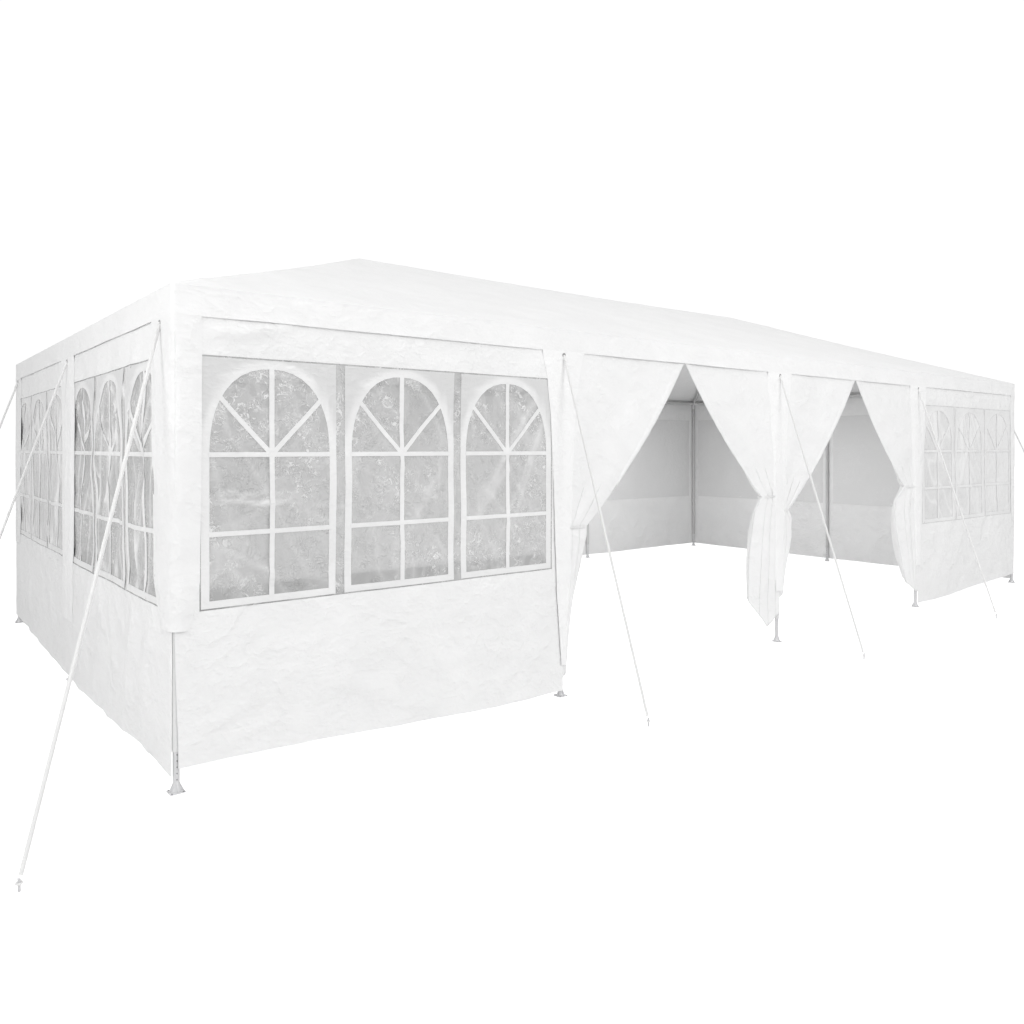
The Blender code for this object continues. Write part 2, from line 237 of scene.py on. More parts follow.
def makeStudio():
    scene = bpy.context.scene
    scene.view_settings.view_transform = "Standard"
    lens = bpy.data.cameras.new("camera")
    lens.lens = studio["lens"]
    lens.sensor_width = 36.0
    lens.shift_y = studio["shiftY"]
    lens.clip_start, lens.clip_end = 0.05, 400.0
    camera = bpy.data.objects.new("camera", lens)
    camera.location = studio["cameraPlace"]
    camera.rotation_euler = (math.radians(90), 0.0, -math.radians(studio["cameraYaw"]))
    bpy.context.collection.objects.link(camera)
    scene.camera = camera

    world = bpy.data.worlds.new("studioWorld")
    world.use_nodes = True
    scene.world = world
    tree = world.node_tree
    back = tree.nodes["Background"]
    back.inputs["Color"].default_value = (1.0, 1.0, 1.0, 1.0)
    rays = tree.nodes.new("ShaderNodeLightPath")
    level = tree.nodes.new("ShaderNodeMapRange")
    level.inputs["To Min"].default_value = studio["skyLight"]
    level.inputs["To Max"].default_value = studio["skySeen"]
    tree.links.new(rays.outputs["Is Camera Ray"], level.inputs["Value"])
    tree.links.new(level.outputs["Result"], back.inputs["Strength"])

    for name, (place, size, power, target) in studio["lights"].items():
        lamp = bpy.data.lights.new(name, "AREA")
        lamp.shape = "DISK"
        lamp.size = size
        lamp.energy = power
        light = bpy.data.objects.new(name, lamp)
        light.location = place
        light.rotation_euler = (Vector(target) - Vector(place)).to_track_quat("-Z", "Y").to_euler()
        light.visible_camera = False
        bpy.context.collection.objects.link(light)

    # soft fill inside the tent, for the daylight that thin sheeting lets through
    lamp = bpy.data.lights.new("fillLight", "AREA")
    lamp.shape = "RECTANGLE"
    lamp.size, lamp.size_y = studio["fillSize"]
    lamp.energy = studio["fillPower"]
    fill = bpy.data.objects.new("fillLight", lamp)
    fill.location = (0.0, 0.0, studio["fillHeight"])
    fill.visible_camera = False
    fill.visible_glossy = False
    bpy.context.collection.objects.link(fill)

    bm = bmesh.new()
    bmesh.ops.create_grid(bm, x_segments=2, y_segments=2, size=studio["floorHalf"])
    mesh = bpy.data.meshes.new("floor")
    bm.to_mesh(mesh)
    bm.free()
    floor = bpy.data.objects.new("floor", mesh)
    bpy.context.collection.objects.link(floor)
    material = bpy.data.materials.new("studioFloor")
    material.use_nodes = True
    tree = material.node_tree
    shader = tree.nodes["Principled BSDF"]
    shader.inputs["Base Color"].default_value = studio["floorColour"]
    shader.inputs["Roughness"].default_value = 0.9
    shader.inputs["Emission Color"].default_value = (1.0, 1.0, 1.0, 1.0)
    rays = tree.nodes.new("ShaderNodeLightPath")
    glow = tree.nodes.new("ShaderNodeMath")
    glow.operation = "MULTIPLY"
    glow.inputs[1].default_value = studio["floorSeen"]
    tree.links.new(rays.outputs["Is Camera Ray"], glow.inputs[0])
    tree.links.new(glow.outputs[0], shader.inputs["Emission Strength"])
    mesh.materials.append(material)


makeStudio()
print("studio ready")


# ---- finishes
def addNode(tree, kind, inputs=None, **settings):
    node = tree.nodes.new(kind if kind.startswith("Node") else "ShaderNode" + kind)
    for key, value in settings.items():
        setattr(node, key, value)
    for socket, value in (inputs or {}).items():
        if isinstance(value, bpy.types.NodeSocket):
            tree.links.new(value, node.inputs[socket])
        else:
            node.inputs[socket].default_value = value
    return node


def mathOn(tree, operation, *values, **settings):
    return addNode(tree, "Math", dict(enumerate(values)), operation=operation, **settings).outputs[0]


def noiseOn(tree, place, scale, detail, roughness=0.5, **sockets):
    given = {"Vector": place, "Scale": scale, "Detail": detail, "Roughness": roughness}
    return addNode(tree, "TexNoise", given | sockets).outputs


def spreadOn(tree, value, low=(0.0, 1.0), high=(0.0, 1.0), soft=False):
    # brings the values over the range low to the range high
    given = {"Value": value, "From Min": low[0], "From Max": low[1], "To Min": high[0], "To Max": high[1]}
    return addNode(tree, "MapRange", given, interpolation_type="SMOOTHSTEP" if soft else "LINEAR").outputs[0]


def bumpOn(tree, height, distance, strength=1.0, **sockets):
    given = {"Height": height, "Strength": strength, "Distance": distance}
    return addNode(tree, "Bump", given | sockets).outputs[0]


def blendOn(tree, mask, low, high):
    return addNode(tree, "Mix", {"Factor": mask, "A": low, "B": high}, data_type="RGBA").outputs["Result"]


def newGroup(name, inputs, outputs):
    group = bpy.data.node_groups.new(name, "ShaderNodeTree")
    for label, kind, value in inputs:
        socket = group.interface.new_socket(label, in_out="INPUT", socket_type=kind)
        if value is not None:
            socket.default_value = value
    for label in outputs:
        group.interface.new_socket(label, in_out="OUTPUT", socket_type="NodeSocketFloat")
    return group, addNode(group, "NodeGroupInput").outputs, addNode(group, "NodeGroupOutput").inputs


def makeWeaveGroup():
    # flat tapes woven over and under, the same on every side of the tent
    inputs = [("Vector", "NodeSocketVector", None), ("Tapes per metre", "NodeSocketFloat", 400.0)]
    group, given, made = newGroup("tapeWeave", inputs, ["Height"])
    scaled = addNode(
        group, "VectorMath", {0: given["Vector"], "Scale": given["Tapes per metre"]}, operation="SCALE",
    )
    waves = []
    for direction in "XYZ":
        wave = {"Vector": scaled.outputs[0], "Scale": math.pi / 10, "Distortion": 0.0}
        waves.append(addNode(group, "TexWave", wave, bands_direction=direction).outputs["Fac"])
    total = mathOn(group, "ADD", mathOn(group, "ADD", waves[0], waves[1]), waves[2])
    group.links.new(mathOn(group, "MULTIPLY", total, 1 / 3), made["Height"])
    return group


def makeCrinkleGroup():
    # winding creases with soft slopes, over a broad unevenness
    inputs = [("Vector", "NodeSocketVector", None), ("Per metre", "NodeSocketFloat", 6.0)]
    group, given, made = newGroup("sheetCrinkle", inputs, ["Height", "Crease"])
    bent = noiseOn(group, given["Vector"], 2.6, 2.0)["Color"]
    push = addNode(group, "VectorMath", {0: bent, "Scale": 0.16}, operation="SCALE").outputs[0]
    moved = addNode(group, "VectorMath", {0: given["Vector"], 1: push}).outputs[0]
    veins = addNode(
        group, "TexNoise",
        {
            "Vector": moved, "Scale": given["Per metre"], "Detail": 5.0,
            "Roughness": 0.55, "Lacunarity": 2.1, "Offset": 0.9, "Gain": 1.6,
        },
        noise_type="RIDGED_MULTIFRACTAL", normalize=True,
    ).outputs["Fac"]
    soft = noiseOn(group, moved, given["Per metre"], 4.0, 0.55)["Fac"]
    group.links.new(mathOn(group, "MULTIPLY_ADD", veins, 0.6, soft), made["Height"])
    group.links.new(spreadOn(group, veins, (0.55, 0.95), soft=True), made["Crease"])
    return group


tapeWeave = makeWeaveGroup()
sheetCrinkle = makeCrinkleGroup()


def startMaterial(name, colour, roughness, metallic=0.0):
    # a material, its tree, the inputs of its shader and its object coordinates
    material = bpy.data.materials.new(name)
    material.use_nodes = True
    material.diffuse_color = (*colour, 1.0)
    tree = material.node_tree
    shader = tree.nodes["Principled BSDF"].inputs
    shader["Base Color"].default_value = (*colour, 1.0)
    shader["Roughness"].default_value = roughness
    shader["Metallic"].default_value = metallic
    return material, tree, shader, addNode(tree, "TexCoord").outputs["Object"]


def grey(value):
    return (value, value, value)


def makeSheeting(name, low, high, crinkle, crumple=0.001, weave=0.00002, perMetre=5.0, roughness=0.42):
    # woven plastic sheeting: tape weave, fine crinkles, faint cloudiness between two greys
    material, tree, shader, place = startMaterial(name, grey(high), roughness)
    cloud = noiseOn(tree, place, 3.2, 5.0, 0.62)["Fac"]
    tint = blendOn(tree, spreadOn(tree, cloud, (0.32, 0.68)), (*grey(low), 1.0), (*grey(high), 1.0))
    tree.links.new(tint, shader["Base Color"])
    tree.links.new(spreadOn(tree, cloud, high=(roughness - 0.06, roughness + 0.10)), shader["Roughness"])
    flat = addNode(tree, "Mapping", {"Vector": place, "Scale": (1.0, 1.0, 2.0)}).outputs[0]
    folds = {"Vector": place, "Per metre": perMetre}
    crumples = {"Vector": flat, "Per metre": perMetre * 3.6}
    tapes = {"Vector": place, "Tapes per metre": 420.0}
    normal = {}
    for group, inputs, depth in (
        (sheetCrinkle, folds, crinkle), (sheetCrinkle, crumples, crumple), (tapeWeave, tapes, weave),
    ):
        height = addNode(tree, "Group", inputs, node_tree=group).outputs["Height"]
        normal["Normal"] = bumpOn(tree, height, depth, **normal)
    tree.links.new(normal["Normal"], shader["Normal"])
    return material


def makePrint():
    # white print on the film: solid round the panes, and greyer beside the arches on the clear bays, where
    # painted shade is laid on it
    material = makeSheeting("windowPrint", 0.84, 0.89, 0.003, roughness=0.3)
    tree = material.node_tree
    colour = tree.nodes["Principled BSDF"].inputs["Base Color"]
    printShade = addNode(tree, "Attribute", attribute_name="spandrelShade").outputs["Fac"]
    tree.links.new(blendOn(tree, printShade, colour.links[0].from_socket, (*grey(0.72), 1.0)), colour)
    return material


def makeClearFilm():
    # clear vinyl, hazy and glossy; its grey colour is painted shade for the darker inside seen through it,
    # and painted highlights and painted sheen whiten it along creases, crinkles and by bay
    material, tree, shader, place = startMaterial("clearFilm", grey(0.62), 0.2)
    material.surface_render_method = "BLENDED"
    folds = addNode(tree, "Group", {"Vector": place, "Per metre": 14.0}, node_tree=sheetCrinkle).outputs
    # the short winding strokes and the crease lines are painted highlights, laid on as white where the film
    # is crinkled
    winding = noiseOn(tree, place, 22.0, 2.0, Distortion=1.8)["Fac"]
    aside = mathOn(tree, "ABSOLUTE", mathOn(tree, "SUBTRACT", winding, 0.5))
    line = spreadOn(tree, aside, (0.0, 0.055), (1.0, 0.0), soft=True)
    stroke = spreadOn(tree, noiseOn(tree, place, 15.0, 1.0)["Fac"], (0.38, 0.56), soft=True)
    short = mathOn(tree, "MULTIPLY", line, stroke)
    marks = mathOn(tree, "MULTIPLY_ADD", folds["Crease"], 0.22, short)
    crinkled = spreadOn(tree, noiseOn(tree, place, 2.8, 2.0)["Fac"], (0.40, 0.56), (0.2, 1.0), soft=True)
    paintedGlints = mathOn(tree, "MULTIPLY", marks, crinkled)
    # this attribute holds painted sheen and painted highlights laid on the film
    paintedSheenMask = addNode(tree, "Attribute", attribute_name="sheenAndHighlights").outputs["Fac"]
    clear = spreadOn(tree, paintedSheenMask, (0.0, 0.6), (0.85, 0.08))
    white = mathOn(tree, "MULTIPLY_ADD", paintedGlints, clear, paintedSheenMask, use_clamp=True)
    # the lowest strip of the film is made opaque, and where it is clear it is darkened with painted shade
    # for the shadowed ground inside
    height = addNode(tree, "SeparateXYZ", {"Vector": place}).outputs["Z"]
    sill = spreadOn(tree, height, (0.765, 0.80), (1.0, 0.0), soft=True)
    sillShade = mathOn(tree, "MULTIPLY", sill, spreadOn(tree, paintedSheenMask, (0.15, 0.5), (1.0, 0.0)))
    shade = mathOn(tree, "MULTIPLY_ADD", sillShade, -0.18, white)
    tree.links.new(spreadOn(tree, shade, (-0.25, 1.0), (0.405, 0.88)), shader["Base Color"])
    milky = spreadOn(tree, white, (0.0, 0.7), (0.72, 1.0))
    tree.links.new(mathOn(tree, "MAXIMUM", milky, sill), shader["Alpha"])
    relief = mathOn(tree, "MULTIPLY_ADD", short, 0.8, folds["Height"])
    normal = bumpOn(tree, relief, 0.0028, spreadOn(tree, paintedSheenMask, high=(0.9, 0.25)))
    tree.links.new(normal, shader["Normal"])
    return material


def makeTubeCoat(name, colour, roughness, metallic=0.0, grain=60.0):
    # painted or zinc-coated steel with a fine uneven skin
    material, tree, shader, place = startMaterial(name, colour, roughness, metallic)
    skin = noiseOn(tree, place, grain, 4.0, 0.6)["Fac"]
    dark = tuple(0.88 * part for part in colour)
    tree.links.new(blendOn(tree, skin, (*dark, 1.0), (*colour, 1.0)), shader["Base Color"])
    tree.links.new(spreadOn(tree, skin, high=(roughness - 0.08, roughness + 0.12)), shader["Roughness"])
    tree.links.new(bumpOn(tree, skin, 0.00012), shader["Normal"])
    return material


def makeRopeFinish():
    # fine slanting yarns in each strand
    material, tree, shader, place = startMaterial("whiteCord", (0.93, 0.93, 0.925), 0.7)
    wave = {"Vector": place, "Scale": 210.0, "Distortion": 1.5, "Detail": 2.0}
    yarn = addNode(tree, "TexWave", wave, bands_direction="DIAGONAL").outputs["Fac"]
    tint = blendOn(tree, yarn, (0.89, 0.89, 0.885, 1.0), (0.97, 0.97, 0.965, 1.0))
    tree.links.new(tint, shader["Base Color"])
    tree.links.new(bumpOn(tree, yarn, 0.0004), shader["Normal"])
    return material


roofSheeting = makeSheeting("roofSheeting", 0.90, 0.94, 0.005)
wallSheeting = makeSheeting("wallSheeting", 0.89, 0.93, 0.0075, crumple=0.0014)
curtainSheeting = makeSheeting("curtainSheeting", 0.89, 0.93, 0.007)
drapeSheeting = makeSheeting("drapeSheeting", 0.93, 0.97, 0.006)
windowPrint = makePrint()
tieTape = makeSheeting("tieTape", 0.90, 0.94, 0.0006, weave=0.0002, perMetre=120.0)
clearFilm = makeClearFilm()
powderCoat = makeTubeCoat("powderCoat", grey(0.84), 0.38)
# darker copy of the coat: painted shade for the back and right posts and for the frame tubes under the roof
shadedCoat = makeTubeCoat("shadedCoat", grey(0.66), 0.42)
zincFoot = makeTubeCoat("zincFoot", (0.78, 0.78, 0.79), 0.38, metallic=0.35, grain=140.0)
# near-black finish for the floors of the pin, bolt and eyelet holes: painted shade for the dark inside of
# the holes
holeShade = makeTubeCoat("holeShade", (0.06, 0.06, 0.065), 0.6)
eyeletMetal = makeTubeCoat("eyeletMetal", grey(0.5), 0.3, metallic=0.9, grain=200.0)
whiteCord = makeRopeFinish()
print("finishes ready")


# ---- roof cover and valance
cover = {
    "step": 0.036,
    "lay": 0.002,
    "ridgeSag": 0.012,
    "panelSag": 0.009,
    "foldEvery": 0.52,
    "foldShift": 0.2,
    "foldHeight": 0.0016,
    "foldWidth": 0.012,
    "creaseHeight": 0.0016,
    "flare": 0.006,
    "hemRoll": 0.0012,
    "hemDrop": 0.007,
    "endShare": 0.4,
    "corner": 0.024,
    "cornerLines": (0.012, 0.026),
    "valanceRows": (0.004, 0.018, 0.045, 0.075, 0.100, 0.117, 0.120),
    "underPlane": 0.0005,
    "thickness": 0.0012,
}


def roofHeight(x, y):
    # the cover's plane at a place of the plan, with its sag, creases and packing folds
    slope = tent["ridge"] - tent["eave"]
    inset = tent["halfLength"] - tent["ridgeEnd"]
    halfLength, halfWidth = tent["halfLength"], tent["halfWidth"]
    share = max(0.0, min((halfWidth - abs(y)) / halfWidth, (halfLength - abs(x)) / inset, 1.0))
    height = tent["eave"] - cover["lay"] + slope * share
    # the sheet sags a little between the rafters and along the ridge
    bay = (halfLength - tent["postLine"]) / 2
    acrossBay = math.sin(math.pi * min(1.0, abs(x) / bay % 1.0))
    upSlope = math.sin(math.pi * share)
    height -= cover["panelSag"] * upSlope * (0.35 + 0.65 * acrossBay)
    if abs(x) < tent["ridgeEnd"]:
        height -= cover["ridgeSag"] * share * math.cos(math.pi * x / 2 / tent["ridgeEnd"])
    loose = smoothStep(0.0, 0.06, share)
    creases = ridge(x * 1.3, y * 2.2, 3.0) + 0.8 * swell(x * 3.0, y * 3.0, 8.0)
    height += cover["creaseHeight"] * loose * creases
    alongFold = (abs(y) / cover["foldEvery"]) % 1.0
    acrossFold = ((x + cover["foldShift"]) / (2 * cover["foldEvery"])) % 1.0
    for fold in (alongFold, acrossFold):
        height += cover["foldHeight"] * loose * bell((fold - 0.5) * cover["foldEvery"], cover["foldWidth"])
    return height


def valanceOut(along, depth, seed, places):
    # how far the valance stands out and drops, more towards its loose hem between the drapes
    share = depth / (tent["eave"] - tent["hem"])
    nearest = min(abs(along - place) for place in places)
    loose = smoothStep(0.14, 0.36, nearest)
    wave = 0.5 + 0.5 * swell(along * 1.7, 0.3, seed) + 0.25 * swell(along * 6.0, depth * 6.0, seed)
    push = cover["flare"] * share * wave * loose
    if depth > 0.11:
        push += cover["hemRoll"] * loose * (0.7 + 0.5 * swell(along * 1.3, 2.0, seed + 4))
    drop = cover["hemDrop"] * share * loose * swell(along * 1.25, 1.0, seed + 6)
    return push * (cover["endShare"] if len(places) == 3 else 1.0), drop


def makeRoofCover():
    halfLength, halfWidth = tent["halfLength"], tent["halfWidth"]
    fixedX, fixedY = [], [0.0]
    for inset in cover["cornerLines"]:
        fixedX += [inset - halfLength, halfLength - inset]
        fixedY += [inset - halfWidth, halfWidth - inset]
    xLines = evenLines(-halfLength, halfLength, cover["step"], fixedX)
    yLines = evenLines(-halfWidth, halfWidth, cover["step"], fixedY)
    bm = gridOver(xLines, yLines)
    for vert in bm.verts:
        vert.co = (vert.co.x, vert.co.z, 0.0)
    # cut the grid along the four hips, so that they stay straight
    for signX in (-1, 1):
        for signY in (-1, 1):
            start = Vector((signX * halfLength, signY * halfWidth, 0.0))
            along = Vector((signX * tent["ridgeEnd"], 0.0, 0.0)) - start
            faces = []
            for face in bm.faces:
                centre = face.calc_center_median()
                if centre.x * signX > tent["ridgeEnd"] - 0.01 and centre.y * signY > 0:
                    faces.append(face)
            edges = list({edge for face in faces for edge in face.edges})
            verts = list({vert for face in faces for vert in face.verts})
            across = Vector((along.y, -along.x, 0.0)).normalized()
            geom = verts + edges + faces
            bmesh.ops.bisect_plane(bm, geom=geom, dist=0.002, plane_co=start, plane_no=across)
    rim = [edge for edge in bm.edges if edge.is_boundary]
    edgeX, edgeY = halfLength - cover["underPlane"], halfWidth - cover["underPlane"]
    rows = {vert: 0.0 for vert in bm.verts}
    for depth in cover["valanceRows"]:
        rim, added = growRim(bm, rim)
        rows.update((vert, depth) for vert in added)
    for vert in bm.verts:
        x, y = vert.co.x, vert.co.y
        depth = rows[vert]
        if depth == 0.0:
            vert.co.z = roofHeight(x, y)
            continue
        outX, outY = abs(x) > edgeX, abs(y) > edgeY
        along = x if outY else y
        places = postPlaces("front") if outY else postPlaces("right")
        push, drop = valanceOut(along, depth, 1.0 + math.copysign(2, x if outX else y), places)
        if outX:
            vert.co.x = math.copysign(edgeX + push, x)
        if outY:
            vert.co.y = math.copysign(edgeY + push, y)
        vert.co.z = tent["eave"] - depth - drop
    # round the four upright corners
    radius = cover["corner"]
    for vert in bm.verts:
        asideX, asideY = halfLength - abs(vert.co.x), halfWidth - abs(vert.co.y)
        if max(asideX, asideY) < radius and min(asideX, asideY) < 0.003:
            angle = math.pi / 4 * (1 + (asideX - asideY) / radius)
            vert.co.x = math.copysign(halfLength - radius + radius * math.cos(angle), vert.co.x)
            vert.co.y = math.copysign(halfWidth - radius + radius * math.sin(angle), vert.co.y)
    bmesh.ops.recalc_face_normals(bm, faces=bm.faces[:])
    faceOutwards(bm, Vector((0, 0, 1)))
    piece = addPiece("roofCover", bm, [roofSheeting], thickness=cover["thickness"])
    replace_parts(piece, "roof_cover_front", "roof_cover_right", "roof_cover_back", "roof_cover_left")
    rise, ridgeEnd, valance = tent["ridge"] - tent["eave"], tent["ridgeEnd"], tent["eave"] - tent["hem"]
    slopeLength, endLength = math.hypot(halfWidth, rise), math.hypot(halfLength - ridgeEnd, rise)
    area = 2 * slopeLength * (halfLength + ridgeEnd) + 2 * endLength * halfWidth
    area += valance * 4 * (halfLength + halfWidth)


# ---- drapes over the posts, their outlines given as (height, half width)
drapes = {
    "profile": ((1.84, 0.14), (1.40, 0.108), (1.00, 0.078), (0.66, 0.06), (0.35, 0.043)),
    "slim": (
        (1.84, 0.15), (1.70, 0.115), (1.50, 0.088), (1.00, 0.066),
        (0.58, 0.052), (0.37, 0.034), (0.17, 0.018),
    ),
    "besideWalls": ((1.84, 0.18), (1.00, 0.172), (0.35, 0.155)),
    "cornerFront": ((1.84, 0.11), (1.20, 0.105), (0.80, 0.10), (0.62, 0.06)),
    "cornerEnd": ((1.84, 0.27), (1.60, 0.258), (1.20, 0.245), (0.80, 0.24), (0.62, 0.16)),
    "step": 0.023,
    "foldDepth": 0.0045,
    "doorEdge": -0.0040,
    "corner": 0.042,
    "overHem": 0.003,
    "offWall": 0.0016,
    "thickness": 0.001,
    "standOff": 0.0008,
    "hemWidth": 0.012,
    "hemThick": 0.0008,
    "middleDip": 0.003,
    "middleWidth": 0.014,
    "sway": 0.004,
    # the grid lines across a cloth, as shares of its half width, and where its side hem starts
    "postLines": (0.08, 0.93),
    "cornerLines": (0.06, 0.94),
}


def widthAt(profile, height):
    # half the width of a cloth at a height, straight between its (height, width) rows
    for (upper, wide), (lower, narrow) in zip(profile, profile[1:]):
        if height >= lower:
            share = (upper - height) / (upper - lower)
            return wide + (narrow - wide) * max(0.0, share)
    return profile[-1][1]


def drapeFold(across, height, seed):
    # soft vertical folds, deeper towards the loose end
    loose = smoothStep(tent["hem"], 1.2, height)
    fold = 0.5 + 0.5 * swell(across * 26.0, height * 1.1, seed)
    small = 0.3 * ridge(across * 20.0, height * 3.0, seed + 4)
    return drapes["standOff"] + drapes["foldDepth"] * loose * (fold + small)


def drapeGrid(lines, low, top):
    # upright grid of a cloth from -1 to 1 across, with lines where its hems start
    step, sideHem = lines
    shares = evenLines(-1.0, 1.0, step, (-sideHem, sideHem))
    return gridOver(shares, evenLines(low, top, drapes["step"], (low + drapes["hemWidth"],)))


def hemLift(lines, share, aboveLow):
    # the sewn hem along the sides and the bottom is a little thicker
    onSide = lines[1] - 0.01 < abs(share) < 0.99
    return drapes["hemThick"] if onSide or aboveLow < drapes["hemWidth"] - 0.001 else 0.0


def edgeRest(side, along, height):
    # where a drape's edge comes to rest: on the wall, or loose beside a doorway
    if side == "front" and postPlaces("front")[1] < along < postPlaces("front")[3]:
        return drapes["doorEdge"]
    return wallBulge(side, along, height) - walls["face"] + drapes["offWall"]


def makePostDrape(side, place, name, seed):
    top = tent["hem"] + drapes["overHem"]
    profile = drapes["profile"] if side == "front" else drapes["besideWalls"]
    if side == "front" and place < -1.0:
        profile = drapes["slim"]
    low, lines = profile[-1][0], drapes["postLines"]
    bm = drapeGrid(lines, low, top)
    for vert in bm.verts:
        share, height = vert.co.x, vert.co.z
        across = widthAt(profile, min(height, tent["hem"])) * share
        out = drapeFold(across, height, seed)
        loose = belowHem(height, 0.10)
        if side != "front":
            out -= drapes["middleDip"] * loose * bell(across, drapes["middleWidth"])
        out += hemLift(lines, share, height - low) * loose
        rest = edgeRest(side, place + across, height)
        if profile == drapes["slim"] and share < 0:
            rest += 0.005 * smoothStep(1.3, 1.0, height)
        out += (rest - out) * belowHem(height, 0.03) * smoothStep(0.5, 1.0, abs(share))
        pull = drapes["sway"] * swell(height * 4.0, 0.0, seed) * smoothStep(1.7, 1.2, height)
        vert.co = (place + across + pull, -(sides[side]["out"] + out), height)
    bmesh.ops.transform(bm, matrix=sideTurn(side), verts=bm.verts)
    piece = addPiece(name, bm, [drapeSheeting], thickness=drapes["thickness"])


def makeCornerDrape(name, signX, signY, seed):
    # one cloth round the corner post: share runs from the end side to the long side
    top, low = tent["hem"] + drapes["overHem"], drapes["cornerFront"][-1][0]
    lines = drapes["cornerLines"]
    bm = drapeGrid(lines, low, top)
    for vert in bm.verts:
        share, height = vert.co.x, vert.co.z
        profile = drapes["cornerFront"] if share > 0 else drapes["cornerEnd"]
        across = widthAt(profile, min(height, tent["hem"])) * abs(share)
        loose = belowHem(height, 0.10)
        radius = cover["corner"] + (drapes["corner"] - cover["corner"]) * loose
        out = drapes["standOff"] + (drapeFold(share * 0.13, height, seed) - drapes["standOff"]) * loose
        out += hemLift(lines, share, height - low) * loose
        side = ("front" if signY < 0 else "back") if share > 0 else ("left" if signX < 0 else "right")
        reach = (tent["halfLength"] if share > 0 else tent["halfWidth"]) - across
        turned = {"front": signX, "back": -signX, "left": -signY, "right": signY}[side]
        rest = edgeRest(side, turned * reach, height)
        out += (rest - out) * belowHem(height, 0.03) * smoothStep(0.55, 1.0, abs(share))
        # the arc round the post takes up the first part of the cloth on both sides
        arc = radius * math.pi / 4
        centreX, centreY = tent["halfLength"] - radius, tent["halfWidth"] - radius
        if across < arc:
            angle = math.pi / 4 + math.copysign(across / radius, share)
            edgeX = centreX + (radius + out) * math.cos(angle)
            edgeY = centreY + (radius + out) * math.sin(angle)
        elif share > 0:
            edgeX, edgeY = centreX - (across - arc), tent["halfWidth"] + out
        else:
            edgeX, edgeY = tent["halfLength"] + out, centreY - (across - arc)
        vert.co = (signX * edgeX, signY * edgeY, height)
    faceOutwards(bm, Vector((signX, signY, 0)))
    # the corner drape takes the greyer curtain sheeting instead of the drapes' own: painted shade at the
    # corners
    piece = addPiece(name, bm, [curtainSheeting], thickness=drapes["thickness"])


# ---- walls
walls = {
    "top": 1.90,
    "bottom": 0.03,
    "face": 0.0050,
    "cornerMargin": 0.015,
    "seamGap": 0.003,
    "step": 0.024,
    "bulge": 0.013,
    "crease": {"front": 0.0060, "right": 0.0050, "back": 0.0050, "left": 0.0070},
    "foldHeight": 0.50,
    "endMargin": 0.019,
    "hemWave": 0.009,
    "gape": {"front": 0.014, "right": 0.0, "back": 0.0, "left": 0.0},
    "drawnUp": {"front": 0.062, "right": 0.006, "back": 0.006, "left": 0.034},
    "thickness": 0.0012,
    "windowHalf": 0.912,
    "windowBottom": 0.688,
    "windowTop": 1.692,
    "hemWidth": 0.030,
    "hemThick": 0.0010,
}
sideSeed = {"front": 2.0, "right": 5.0, "back": 9.0, "left": 13.0}
# drag folds in the sheeting: start, end (along, height), width, height
wallFolds = {
    "front": (
        (-3.90, 1.770, -3.50, 1.825, 0.017, 0.013),
        (-3.08, 0.415, -2.87, 0.518, 0.022, 0.006),
        (-2.86, 0.52, -2.55, 0.56, 0.020, 0.004),
        (-3.90, 0.20, -3.62, 0.33, 0.026, 0.006),
        (-3.84, 0.08, -3.55, 0.20, 0.022, 0.005),
        (-2.50, 0.10, -2.25, 0.24, 0.024, 0.005),
    ),
    "left": (
        (1.75, 0.66, 1.55, 0.30, 0.045, 0.014),
        (1.45, 0.62, 1.30, 0.12, 0.050, 0.015),
        (1.00, 0.60, 1.12, 0.20, 0.045, 0.013),
        (0.55, 0.58, 0.40, 0.22, 0.045, 0.013),
        (0.78, 0.66, 0.90, 0.40, 0.035, 0.010),
        (-0.60, 0.60, -0.40, 0.15, 0.055, 0.014),
        (-1.40, 0.60, -1.25, 0.10, 0.055, 0.014),
    ),
}


def foldLines(lines, along, height):
    # how high straight, slightly wavering folds stand at a place
    total = 0.0
    for x0, z0, x1, z1, width, tall in lines:
        dx, dz = x1 - x0, z1 - z0
        length = math.hypot(dx, dz)
        share = ((along - x0) * dx + (height - z0) * dz) / length / length
        if -0.1 < share < 1.1:
            aside = ((along - x0) * dz - (height - z0) * dx) / length
            aside += 0.012 * swell(share * 5.0, x0, 2.0)
            fade = math.sin(math.pi * min(1.0, max(0.0, share))) ** 0.6
            total += tall * fade * bell(aside, width)
    return total


def insideWindow(side, along, height):
    # how far inside a window opening a place is, less than nothing outside it
    aside = min(abs(along - centre) for centre in bayCentres(side))
    return min(walls["windowHalf"] - aside, height - walls["windowBottom"], walls["windowTop"] - height)


